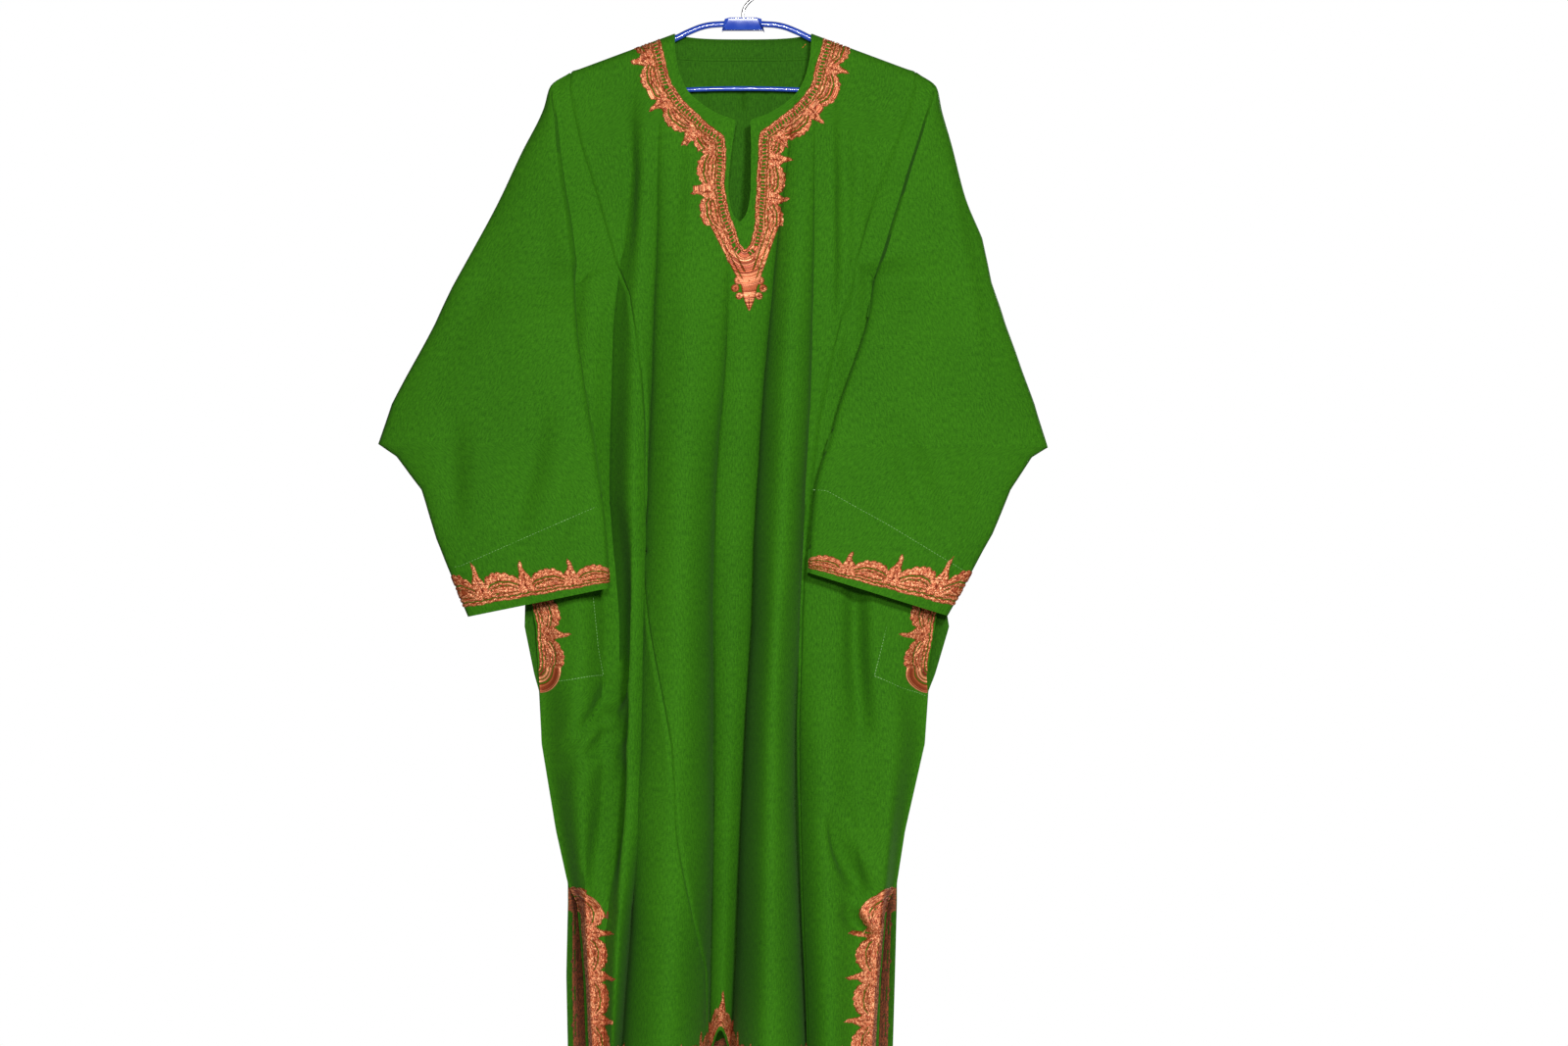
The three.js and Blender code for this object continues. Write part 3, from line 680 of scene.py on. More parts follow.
def cloth_mesh(name: str, points: Array, hint: Array, keep: Array | None = None,
               wall: float = WALL) -> Mesh:
    """A closed thin wall of cloth from a grid of places on its outer side.

    Args:
        name: the mesh's name.
        points: the grid, rows by columns, in millimetres.
        hint: rough outward directions.
        keep: which cells are cloth.
        wall: the cloth's thickness.

    Returns:
        The mesh, in metres, with a UV map along its threads.
    """
    flat = points.reshape(-1, 3)
    wide = np.linalg.norm(np.diff(points, axis=1), axis=-1)
    tall = np.linalg.norm(np.diff(points, axis=0), axis=-1)
    u = np.concatenate([np.zeros((len(points), 1)), np.cumsum(wide, axis=1)], axis=1)
    u = u - u[:, u.shape[1] // 2][:, None]
    v = np.concatenate([np.zeros((1, points.shape[1])), np.cumsum(tall, axis=0)], axis=0)
    v = v.mean(axis=1, keepdims=True) + 0 * u
    rounded = np.round(flat * 40).astype(np.int64)
    _, first, number = np.unique(rounded, axis=0, return_index=True, return_inverse=True)
    outer = flat[first]
    quads, triangles = quad_faces(number.reshape(points.shape[:2]), keep)
    n = vertex_normals(outer, quads, triangles)
    if np.sum(n * np.broadcast_to(hint, points.shape).reshape(-1, 3)[first]) < 0:
        quads, triangles, n = quads[:, ::-1], triangles[:, ::-1], -n
    count = len(outer)
    skins = [faces for faces in (quads, triangles) if len(faces)]
    edges = np.concatenate([np.stack([f, np.roll(f, -1, axis=1)], -1).reshape(-1, 2) for f in skins])
    rim = edges[~np.isin(edges[:, 0] * count + edges[:, 1], edges[:, 1] * count + edges[:, 0])]
    sides = np.stack([rim[:, 1], rim[:, 0], rim[:, 0] + count, rim[:, 1] + count], -1)
    faces = [*quads.tolist(), *triangles.tolist(), *(quads[:, ::-1] + count).tolist(),
             *(triangles[:, ::-1] + count).tolist(), *sides.tolist()]
    crossed = [np.cross(outer[f[:, 2]] - outer[f[:, 0]], outer[f[:, -1]] - outer[f[:, 1]]) for f in skins]
    area = sum(np.linalg.norm(pairs, axis=1).sum() / 2 for pairs in crossed)
    LOG.info("%s: %.3f by %.3f m, %.3f m2", name, np.ptp(u, axis=1).max() * MM, v.max() * MM, area * 1e-6)
    mesh = bpy.data.meshes.new(name)
    mesh.from_pydata((np.concatenate([outer, outer - wall * n]) * MM).tolist(), [], faces)
    # Painted shade: the inner faces take the second material, which the pieces fill with the suiting's darker
    # reverse.
    skin = len(quads) + len(triangles)
    inner = np.zeros(len(faces), np.int32)
    inner[skin : 2 * skin] = 1
    mesh.polygons.foreach_set("material_index", inner)
    uv = np.stack([u, v], -1).reshape(-1, 2)[first] * MM
    set_uv(mesh, np.concatenate([uv, uv]))
    return mesh


def relief_mesh(name: str, points: Array, normals: Array, height: Array, uv: Array,
                sunk: float = 0.55) -> Mesh:
    """A relief on cloth: it stands out where height is positive and is left out where it is well under it.

    Args:
        name: the mesh's name.
        points: rows by columns of places on the cloth, in millimetres.
        normals: the cloth's normals there.
        height: how far the relief stands out, or how far outside it a place is where negative.
        uv: the pattern's own coordinates, in millimetres.
        sunk: how far the relief's edge goes under the cloth.

    Returns:
        The mesh, in metres, with a UV map and a pile attribute that runs from 0 in hollows to 1 on crests.
    """
    inside = height > -0.45
    cells = inside[:-1, :-1] | inside[:-1, 1:] | inside[1:, 1:] | inside[1:, :-1]
    index = np.arange(height.size).reshape(height.shape)
    quads, _ = quad_faces(index, cells)
    used, number = np.unique(quads, return_inverse=True)
    quads = number.reshape(-1, 4)
    lifted = (points + normals * np.clip(height, -sunk, None)[..., None]).reshape(-1, 3)[used]
    n = vertex_normals(lifted, quads, quads[:0])
    if np.sum(n * normals.reshape(-1, 3)[used]) < 0:
        quads = quads[:, ::-1]
    mesh = bpy.data.meshes.new(name)
    mesh.from_pydata((lifted * MM).tolist(), [], quads.tolist())
    set_uv(mesh, uv.reshape(-1, 2)[used] * MM)
    pile = mesh.attributes.new("pile", "FLOAT", "POINT")
    top = max(float(height.max()), 1e-6)
    pile.data.foreach_set("value", np.clip(height.reshape(-1)[used] / top, 0, 1).astype(np.float32))
    return mesh


def join_meshes(name: str, meshes: list[Mesh], material: Material) -> Thing:
    """One piece from several meshes that belong together.

    Args:
        name: the piece's name.
        meshes: what it is made of.
        material: its finish.

    Returns:
        The piece.
    """
    parts = [place_object(f"{name}_{i}", mesh, material) for i, mesh in enumerate(meshes)]
    bpy.ops.object.select_all(action="DESELECT")
    for part in parts:
        part.select_set(True)
    bpy.context.view_layer.objects.active = parts[0]
    if len(parts) > 1:
        bpy.ops.object.join()
    piece = bpy.context.view_layer.objects.active
    piece.name = name
    return piece


# ---- finishes
Sockets = dict[str, str]


def node_group(name: str, takes: Sockets, gives: Sockets, build: Callable) -> NodeTree:
    """A shader node group with named inputs and outputs.

    Args:
        name: the group's name.
        takes: the type of each input.
        gives: the type of each output.
        build: called with the tree, its input node and its output node.

    Returns:
        The group.
    """
    tree = bpy.data.node_groups.new(name, "ShaderNodeTree")
    for label, kind in takes.items():
        tree.interface.new_socket(label, in_out="INPUT", socket_type=f"NodeSocket{kind}")
    for label, kind in gives.items():
        tree.interface.new_socket(label, in_out="OUTPUT", socket_type=f"NodeSocket{kind}")
    build(tree, tree.nodes.new("NodeGroupInput"), tree.nodes.new("NodeGroupOutput"))
    return tree


class Graph:
    """Short ways to add and link nodes in one tree."""

    def __init__(self, tree: NodeTree) -> None:
        """Works on the given tree."""
        self.tree = tree

    def node(self, kind: str, links: dict | None = None, **settings: object) -> Node:
        """Adds a node, with settings on the node and values or links on its inputs.

        Args:
            kind: the node's type.
            links: a value or a socket for each input.
            settings: the node's own attributes.

        Returns:
            The node.
        """
        made = self.tree.nodes.new(kind)
        for key, value in settings.items():
            setattr(made, key, value)
        return self.fill(made, links or {})

    def fill(self, node: Node, links: dict) -> Node:
        """Sets or links a node's inputs.

        Args:
            node: the node.
            links: a value or a socket for each input.

        Returns:
            The node.
        """
        for key, value in links.items():
            if isinstance(value, Socket):
                self.tree.links.new(value, node.inputs[key])
            else:
                node.inputs[key].default_value = value
        return node

    def math(self, operation: str, a: object, b: object = 0.0) -> Socket:
        """One arithmetic step."""
        return self.node("ShaderNodeMath", {0: a, 1: b}, operation=operation).outputs[0]

    def mix(self, share: object, a: object, b: object) -> Socket:
        """A mix of two colours."""
        made = self.node("ShaderNodeMix", {0: share, 6: a, 7: b}, data_type="RGBA")
        return made.outputs[2]

    def group(self, tree: NodeTree, links: dict) -> Node:
        """Places a node group."""
        return self.node("ShaderNodeGroup", links, node_tree=tree)


def weave_group() -> NodeTree:
    """Crossing threads with slubs: Height for a bump and Fibre for the colour.

    Returns:
        The node group.
    """

    def build(tree: NodeTree, source: Node, sink: Node) -> None:
        """Links the threads, slubs and fibres.

        Args:
            tree: the group.
            source: its input node.
            sink: its output node.
        """
        g = Graph(tree)
        place, per_metre = source.outputs["Place"], source.outputs["Threads per metre"]
        split = g.node("ShaderNodeSeparateXYZ", {0: place})
        turn = g.math("MULTIPLY", per_metre, math.pi)
        warp = g.math("ABSOLUTE", g.math("SINE", g.math("MULTIPLY", split.outputs[0], turn)))
        weft = g.math("ABSOLUTE", g.math("SINE", g.math("MULTIPLY", split.outputs[1], turn)))
        drawn = g.node("ShaderNodeMapping", {"Vector": place, "Scale": (620.0, 170.0, 1.0)}).outputs[0]
        slub = g.node("ShaderNodeTexNoise", {"Vector": drawn, "Scale": 1.0, "Detail": 3.0})
        hairs = {"Vector": place, "Scale": 640.0, "Detail": 5.0, "Roughness": 0.7}
        fibre = g.node("ShaderNodeTexNoise", hairs)
        threads = g.math("MAXIMUM", g.math("POWER", warp, 0.7), g.math("POWER", weft, 0.7))
        rough = g.math("MULTIPLY", slub.outputs[0], 0.6)
        height = g.math("ADD", threads, g.math("ADD", rough, g.math("MULTIPLY", fibre.outputs[0], 0.5)))
        soft = g.math("MULTIPLY", fibre.outputs[0], 0.5)
        shade = g.math("ADD", g.math("MULTIPLY", slub.outputs[0], 0.5), soft)
        g.fill(sink, {"Height": height, "Fibre": shade})

    return node_group("Woven threads", {"Place": "Vector", "Threads per metre": "Float"},
                      {"Height": "Float", "Fibre": "Float"}, build)


def mottle_group() -> NodeTree:
    """Slow uneven patches, from 0 to 1.

    Returns:
        The node group.
    """

    def build(tree: NodeTree, source: Node, sink: Node) -> None:
        """Links the slow noise.

        Args:
            tree: the group.
            source: its input node.
            sink: its output node.
        """
        g = Graph(tree)
        links = {"Vector": source.outputs["Place"], "Scale": source.outputs["Size"], "Detail": 3.0,
                 "Roughness": 0.55}
        noise = g.node("ShaderNodeTexNoise", links)
        spread = g.node("ShaderNodeMapRange", {0: noise.outputs[0], 1: 0.3, 2: 0.7})
        g.fill(sink, {"Patches": spread.outputs[0]})

    return node_group("Uneven patches", {"Place": "Vector", "Size": "Float"}, {"Patches": "Float"}, build)


def glint_group() -> NodeTree:
    """Short stitches of metal thread: Glint, a painted highlight that differs from stitch to stitch and is
    brightest at each stitch's middle, for the colour, and Height for a bump.

    Returns:
        The node group.
    """

    def build(tree: NodeTree, source: Node, sink: Node) -> None:
        """Links the stitches' cells.

        Args:
            tree: the group.
            source: its input node.
            sink: its output node.
        """
        g = Graph(tree)
        place = source.outputs["Place"]
        bent = g.node("ShaderNodeTexNoise", {"Vector": place, "Scale": 180.0, "Detail": 2.0})
        shift = {0: bent.outputs[1], 1: (0.0035, 0.0035, 0.0035)}
        moved = g.node("ShaderNodeVectorMath", shift, operation="MULTIPLY")
        at = g.node("ShaderNodeVectorMath", {0: place, 1: moved.outputs[0]}, operation="ADD").outputs[0]
        stretched = g.node("ShaderNodeMapping", {"Vector": at, "Scale": (620.0, 1150.0, 800.0)})
        stitch = {"Vector": stretched.outputs[0], "Scale": 1.0, "Randomness": 0.85}
        cells = g.node("ShaderNodeTexVoronoi", stitch)
        split = g.node("ShaderNodeSeparateColor", {0: cells.outputs["Color"]})
        dome = g.math("SUBTRACT", 1.0, cells.outputs["Distance"])
        # Painted highlight: a random brightness for each stitch, raised towards its middle.
        glint = g.math("ADD", g.math("MULTIPLY", split.outputs[0], 0.62), g.math("MULTIPLY", dome, 0.38))
        g.fill(sink, {"Glint": glint, "Height": dome})

    return node_group("Metal stitches", {"Place": "Vector"}, {"Glint": "Float", "Height": "Float"}, build)


@dataclass(frozen=True)
class ClothFinish:
    """Matt woven cloth with a slight nap.

    Args:
        name: the material's name.
        light: the colour of its raised fibres.
        deep: the colour between them.
        threads: threads per metre.
        sheen: how strong its nap is.
    """

    name: str
    light: Triple
    deep: Triple
    threads: float = 1150.0
    sheen: float = 0.03

    def build(self, groups: dict[str, NodeTree]) -> Material:
        """Makes the material from the shared groups.

        Args:
            groups: the shared node groups, by name.

        Returns:
            The material.
        """
        material, g, shader = new_material(self.name)
        place = g.node("ShaderNodeUVMap", uv_map="weave").outputs[0]
        solid = g.node("ShaderNodeTexCoord").outputs["Object"]
        weave = g.group(groups["weave"], {"Place": place, "Threads per metre": self.threads})
        patches = g.group(groups["mottle"], {"Place": solid, "Size": 9.0})
        grain = g.node("ShaderNodeMapRange", {0: weave.outputs["Fibre"], 1: 0.36, 2: 0.64, 3: 0.0, 4: 0.85})
        share = g.math("ADD", grain.outputs[0], g.math("MULTIPLY", patches.outputs["Patches"], 0.15))
        colour = g.mix(share, (*self.deep, 1), (*self.light, 1))
        rough = g.node("ShaderNodeMapRange", {0: weave.outputs["Fibre"], 3: 0.94, 4: 0.74})
        threads = {"Height": weave.outputs["Height"], "Strength": 0.35, "Distance": 0.0004}
        bump = g.node("ShaderNodeBump", threads)
        g.fill(shader, {
            "Base Color": colour, "Roughness": rough.outputs[0], "Normal": bump.outputs[0],
            "Specular IOR Level": 0.12, "Sheen Weight": self.sheen, "Sheen Roughness": 0.45,
            "Sheen Tint": (0.55, 0.9, 0.4, 1)})
        return material


@dataclass(frozen=True)
class ThreadFinish:
    """Metal thread laid in short stitches.

    Args:
        name: the material's name.
        bright: the colour of the stitches that catch the light, painted in as a glint.
        middle: the colour of most of them.
        dark: the colour between stitches and in the relief's hollows, painted shade.
        metallic: how much of it is metal.
        roughness: how dull its shine is.
    """

    name: str
    bright: Triple
    middle: Triple
    dark: Triple
    metallic: float
    roughness: float

    def build(self, groups: dict[str, NodeTree]) -> Material:
        """Makes the material from the shared groups.

        Args:
            groups: the shared node groups, by name.

        Returns:
            The material.
        """
        material, g, shader = new_material(self.name)
        place = g.node("ShaderNodeUVMap", uv_map="weave").outputs[0]
        stitches = g.group(groups["glint"], {"Place": place})
        pile = g.node("ShaderNodeAttribute", attribute_name="pile").outputs["Fac"]
        # Painted highlight: the ramp turns each stitch's glint into colour, from the dark one through the
        # middle one to the bright one.
        ramp = g.node("ShaderNodeValToRGB", {0: stitches.outputs["Glint"]})
        ramp.color_ramp.elements.new(0.5).color = (*self.middle, 1)
        low, high = ramp.color_ramp.elements[0], ramp.color_ramp.elements[-1]
        low.position, low.color = 0.18, (*self.dark, 1)
        high.position, high.color = 0.9, (*self.bright, 1)
        # Painted shade: where the pile is low, in the relief's hollows and at its sunk edges, the colour
        # falls to the dark one.
        sunk = g.node("ShaderNodeMapRange", {0: pile, 1: 0.1, 2: 0.75, 3: 0.7, 4: 0.0}).outputs[0]
        colour = g.mix(sunk, ramp.outputs[0], (*self.dark, 1))
        raised = {"Height": stitches.outputs["Height"], "Strength": 0.8, "Distance": 0.0006}
        bump = g.node("ShaderNodeBump", raised)
        g.fill(shader, {"Base Color": colour, "Normal": bump.outputs[0], "Metallic": self.metallic,
                        "Roughness": self.roughness})
        return material


@dataclass(frozen=True)
class HardFinish:
    """Smooth plastic or wire.

    Args:
        name: the material's name.
        colour: its colour.
        worn: the colour where it is scuffed.
        roughness: how dull its shine is.
        metallic: how much of it is metal.
        coat: the strength of its clear coat.
    """

    name: str
    colour: Triple
    worn: Triple
    roughness: float
    metallic: float = 0.0
    coat: float = 0.0

    def build(self, groups: dict[str, NodeTree]) -> Material:
        """Makes the material from the shared groups.

        Args:
            groups: the shared node groups, by name.

        Returns:
            The material.
        """
        material, g, shader = new_material(self.name)
        solid = g.node("ShaderNodeTexCoord").outputs["Object"]
        patches = g.group(groups["mottle"], {"Place": solid, "Size": 60.0})
        scuffs = g.node("ShaderNodeTexNoise", {"Vector": solid, "Scale": 900.0, "Detail": 2.0})
        share = g.math("MULTIPLY", patches.outputs["Patches"], 0.35)
        colour = g.mix(share, (*self.colour, 1), (*self.worn, 1))
        rough = g.node("ShaderNodeMapRange", {0: patches.outputs["Patches"], 3: self.roughness * 0.8,
                                              4: self.roughness * 1.3})
        bump = g.node("ShaderNodeBump", {"Height": scuffs.outputs[0], "Strength": 0.12, "Distance": 0.0002})
        g.fill(shader, {"Base Color": colour, "Roughness": rough.outputs[0], "Normal": bump.outputs[0],
                        "Metallic": self.metallic, "Coat Weight": self.coat})
        return material


def new_material(name: str) -> tuple[Material, Graph, Node]:
    """A material with only its shader and output.

    Args:
        name: the material's name.

    Returns:
        The material, its graph and its shader.
    """
    material = bpy.data.materials.new(name)
    material.use_nodes = True
    graph = Graph(material.node_tree)
    return material, graph, material.node_tree.nodes["Principled BSDF"]


class Finishes:
    """Every finish on the robe and its hanger, built once."""

    def __init__(self) -> None:
        """Builds the shared groups and then the materials."""
        groups = {"weave": weave_group(), "mottle": mottle_group(), "glint": glint_group()}
        # The suiting's reverse is the suiting at about three quarters of its brightness: painted shade on
        # every inner face of the cloth, such as the back neck seen through the neck opening.
        self.cloth, self.inside, self.lining, self.stitch, self.orange = (
            ClothFinish(*row).build(groups) for row in (
                ("green suiting", (0.040, 0.185, 0.003), (0.013, 0.078, 0.001)),
                ("reverse of the suiting", (0.030, 0.138, 0.003), (0.010, 0.058, 0.001)),
                ("pocketing", (0.05, 0.15, 0.015), (0.02, 0.07, 0.006), 900),
                ("sewing thread", (0.30, 0.52, 0.20), (0.18, 0.38, 0.12), 4000),
                ("orange thread", (0.7, 0.25, 0.05), (0.5, 0.15, 0.03), 4000)))
        self.thread = ThreadFinish("copper thread", (1.0, 0.46, 0.22), (0.45, 0.088, 0.021),
                                   (0.17, 0.018, 0.003), metallic=0.45, roughness=0.42).build(groups)
        self.reverse = ThreadFinish("reverse of the thread", (0.42, 0.10, 0.03), (0.22, 0.05, 0.014),
                                    (0.06, 0.02, 0.005), metallic=0.1, roughness=0.8).build(groups)
        self.plastic, self.rim, self.steel = (finish.build(groups) for finish in (
            HardFinish("blue plastic", (0.012, 0.045, 0.36), (0.03, 0.10, 0.5), 0.2, coat=0.6),
            HardFinish("dark rim", (0.03, 0.03, 0.05), (0.05, 0.05, 0.07), 0.4),
            HardFinish("bright wire", (0.62, 0.62, 0.62), (0.5, 0.5, 0.5), 0.24, metallic=1.0)))


# ---- the robe's body
def steps_between(top: float, bottom: float, step: float) -> list[float]:
    """Heights from top down to just above bottom, at about the step."""
    count = max(int(round((top - bottom) / step)), 1)
    return [top - (top - bottom) * i / count for i in range(count)]


@dataclass
class Body:
    """The centre panels and gores, and what lies on them inside.

    Args:
        finishes: the materials.
        column_step: places between one fold and the next.
        row_step: the height of a row of cloth cells.
        insets: how far the columns beside a seam lie from it.
        turned: how far a gore's top goes up under the armhole part, and how deep.
        allowance: how far a gore goes sideways under the centre panel, and how deep.
        bag_gap: how far a pocket bag lies from its gore.
        cuts: the width, length and area, in metres, that each piece was cut to; not used.
    """

    finishes: Finishes
    column_step: int = 8
    row_step: float = 6.5
    insets: tuple[float, ...] = (1.2, 2.6, 4.4)
    turned: Pair = (5.0, 1.7)
    allowance: Pair = (2.6, 1.3)
    bag_gap: float = 1.4
    cuts: dict[str, Triple] = field(default_factory=lambda: {
        "front_panel": (0.41, 1.17, 0.345), "back_panel": (0.41, 1.15, 0.270),
        "gore_front_right": (0.33, 0.91, 0.181), "gore_front_left": (0.17, 0.90, 0.118),
        "gore_back_right": (0.175, 0.90, 0.126), "gore_back_left": (0.19, 0.90, 0.136),
        "neck_facing": (0.15, 0.025, 0.0036),
        "pocket_bag_right": (0.085, 0.125, 0.010), "pocket_bag_left": (0.085, 0.125, 0.010)})

    def rows(self, side: BodySide) -> tuple[Array, Array]:
        """The panel's rows: their heights at the neck, and how much of the shoulder's slope they follow.

        Args:
            side: the layer.

        Returns:
            The heights and the shares of the slope.
        """
        fine = 1.6 if side.layer is Layer.FRONT else 5.0
        z = [-76, -76.3, -77, -78, -79.5, -81.5, -84, -87, -90, *steps_between(-94, -152, 4.5),
             *steps_between(-152, -178, fine), *steps_between(-178, -285, 4.5), -285, SLIT_FOOT_Z,
             *steps_between(-292, HEM_Z + 8, self.row_step), HEM_Z + 8, HEM_Z + 3, HEM_Z]
        heights = np.array(z, float)
        slope = np.interp(-heights, (90, 105, 122, 141, 156, 175, 205, 249, 287.5),
                          (1, 0.9, 0.85, 0.8, 0.75, 0.65, 0.45, 0.2, 0))
        return heights, slope

    def columns(self, side: BodySide) -> Array:
        """Fold numbers of the columns, closer together towards the valleys.

        Args:
            side: the layer.

        Returns:
            The fold numbers.
        """
        s = np.linspace(0, 1, self.column_step + 1)
        from_crown = 1 - (1 - s) ** 1.25
        places = [0.0]
        for k in range(side.last):
            part = from_crown if k % 2 == 1 else 1 - from_crown[::-1]
            places.extend((k + part[1:]).tolist())
        return np.array(places)

    def seam_columns(self, side: BodySide, hand: Hand, z: Array, slope: Array) -> tuple[Array, Array]:
        """The fold number of a seam in each row, and the millimetres of cloth to a fold number there.

        Args:
            side: the layer.
            hand: which seam.
            z: the rows' heights.
            slope: how much of the shoulder's slope each row follows.

        Returns:
            The fold numbers and the millimetres.
        """
        real = z.copy()
        for _ in range(4):
            x = side.point(side.seam_fold(hand, real), real)[..., 0]
            real = z + slope * (shoulder_z(x) - NECK_Z)
        t = side.seam_fold(hand, real)
        return t, side.across(t, real)

    def centre_panel(self, side: BodySide) -> Thing:
        """The front or back centre panel, from the shoulders to the hem.

        Args:
            side: the layer.

        Returns:
            The piece.
        """
        z, slope = self.rows(side)
        low, low_wide = self.seam_columns(side, Hand.RIGHT, z, slope)
        high, high_wide = self.seam_columns(side, Hand.LEFT, z, slope)
        insets = (SEAM_GAP / 4, *self.insets)
        left = [low + inset / low_wide for inset in insets]
        right = [high - inset / high_wide for inset in reversed(insets)]
        base = self.columns(side)
        keep = None
        if side.layer is Layer.FRONT:
            half = smooth(z, NECK_HEIGHTS, NECK_HALVES) * (z > SLIT_FOOT_Z + 0.5)
            lean = SLIT_LEAN * np.clip((-180 - z) / 60, 0, 1)
            edge = [side.fold_at(lean - half, z), side.fold_at(lean + half, z)]
            edge = [np.where(z > SLIT_FOOT_Z + 0.5, t, np.minimum(t, MIDDLE_FOLD)) for t in edge]
            wide = [side.across(t, z) for t in edge]
            inner = [edge[0] - 3.2 / wide[0], edge[0] - 1.4 / wide[0], edge[0]]
            outer = [edge[1], edge[1] + 1.4 / wide[1], edge[1] + 3.2 / wide[1]]
            low_part = [np.minimum(t, inner[0]) for t in base[base < MIDDLE_FOLD]]
            high_part = [np.maximum(t, outer[2]) for t in base[base >= MIDDLE_FOLD]]
            middle = [*low_part, *inner, *outer, *high_part]
            hole = len(left) + len(low_part) + 2
            t = np.stack([*left, *(np.clip(c, left[-1], right[0]) for c in middle), *right], 1)
            keep = np.ones((len(z) - 1, t.shape[1] - 1), bool)
            keep[:, hole] = False
        else:
            t = np.stack([*left, *(np.clip(c + 0 * z, left[-1], right[0]) for c in base), *right], 1)
        real = side.row_heights(t, z[:, None], slope[:, None])
        away = np.minimum((t - low[:, None]) * low_wide[:, None], (high[:, None] - t) * high_wide[:, None])
        points, _ = side.dressed(t, real, away)
        name = f"{side.layer.name.lower()}_panel"
        mesh = cloth_mesh(f"{name}_cloth", points, np.array([0.0, side.sign, 0.3]), keep)
        return self.finish(mesh, name, self.finishes.cloth, "cloth")

    def gore(self, side: BodySide, hand: Hand) -> Thing:
        """A side gore, from the underarm's cross seam to the hem.

        Args:
            side: the layer.
            hand: which side of the robe.

        Returns:
            The piece.
        """
        z = self.rows(side)[0]
        below = z < GORE_ROW_Z - 2
        shares = np.linspace(0, 1, 8)
        seam_z = CROSS_SEAM_Z - SEAM_GAP
        z = np.concatenate([seam_z + (GORE_ROW_Z - seam_z) * shares, z[below]])
        share = np.concatenate([shares, np.ones(int(below.sum()))])
        z, share = np.concatenate([z[:1], z]), np.concatenate([share[:1], share])
        seam, wide = self.seam_columns(side, hand, z, 0 * z)
        base = self.columns(side)
        insets = (-self.allowance[0], SEAM_GAP / 4, *self.insets)
        if hand is Hand.RIGHT:
            edge = [seam - inset / wide for inset in reversed(insets)]
            t = np.stack([*(np.minimum(c, edge[0]) for c in base[base < seam.max() + 1]), *edge], 1)
        else:
            edge = [seam + inset / wide for inset in insets]
            t = np.stack([*edge, *(np.maximum(c, edge[-1]) for c in base[base > seam.min() - 1])], 1)
        corner_x, corner_z = UNDERARM[hand]
        seam_x = float(side.point(side.seam_fold(hand, np.array(CROSS_SEAM_Z)), CROSS_SEAM_Z)[..., 0])
        real = z[:, None] + 0 * t
        for _ in range(5):
            x = side.point(t, real)[..., 0]
            along = np.clip((x - corner_x) / (seam_x - corner_x), 0, 1)
            top = corner_z + (CROSS_SEAM_Z - corner_z) * along - SEAM_GAP
            real = np.where(share[:, None] < 1, top + (GORE_ROW_Z - top) * share[:, None], z[:, None])
        real = real + side.hem_lift(t, real)
        away = hand.value * (t - seam[:, None]) * wide[:, None]
        away = np.minimum(away, np.where(share[:, None] < 1, z[0] - z[:, None], 99))
        real[0] += self.turned[0]
        points, n = side.dressed(t, real, np.maximum(away, 0))
        points[0] -= n[0] * self.turned[1]
        last = -1 if hand is Hand.RIGHT else 0
        points[1:, last] -= n[1:, last] * self.allowance[1]
        name = f"gore_{side.layer.name.lower()}_{hand.word}"
        mesh = cloth_mesh(f"{name}_cloth", points, np.array([0.0, side.sign, 0.0]))
        return self.finish(mesh, name, self.finishes.cloth, "cloth")

    def lining(self, name: str, side: BodySide, reach: Pair, z: Array, slope: Array,
               finish: Material, slot: str, gap: float = LAYER_GAP) -> Thing:
        """A piece that lies flat against the inside of a panel.

        Args:
            name: the node that it stands for.
            side: the layer that it lies on.
            reach: its first and last fold number.
            z: its rows' heights.
            slope: how much of the shoulder's slope each row follows.
            finish: its material.
            slot: a name for its material slot, handed on to finish.
            gap: how far it lies from the panel.

        Returns:
            The piece.
        """
        t = np.linspace(*reach, 90)[None] + 0 * z[:, None]
        points, n = side.dressed(t, side.row_heights(t, z[:, None], slope[:, None]))
        points = points - n * (WALL + gap)
        mesh = cloth_mesh(f"{name}_cloth", points, np.array([0.0, side.sign, 0.2]), wall=1.0)
        return self.finish(mesh, name, finish, slot)

    def finish(self, mesh: Mesh, node: str, finish: Material, slot: str) -> Thing:
        """Places a cloth piece and hides the node that it stands for.

        Args:
            mesh: its mesh.
            node: the node that it stands for.
            finish: its material.
            slot: a name for its material slot; not used.

        Returns:
            The piece.
        """
        # The inner faces get the suiting's darker reverse, which is painted shade.
        piece = place_object(f"{node}_cloth", mesh, finish, self.finishes.inside)
        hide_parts(node)
        LOG.info("%s: %d faces", piece.name, len(mesh.polygons))
        return piece

    def build(self) -> None:
        """Makes every cloth piece of the body."""
        for side in (FRONT, BACK):
            self.centre_panel(side)
            for hand in Hand:
                self.gore(side, hand)
        ends = [float(BACK.fold_at(np.array(x), NECK_Z)) for x in (-NECK_HALF + 3, NECK_HALF - 3)]
        z = np.linspace(-79, -103, 12)
        self.lining("neck_facing", BACK, (ends[0], ends[1]), z, np.ones(12), self.finishes.cloth, "cloth")
        z = np.linspace(-677, -800, 60)
        for hand, reach in ((Hand.RIGHT, (0.15, 1.85)), (Hand.LEFT, (12.15, 13.85))):
            name = f"pocket_bag_{hand.word}"
            self.lining(name, FRONT, reach, z, 0 * z, self.finishes.lining, "pocketing", self.bag_gap)


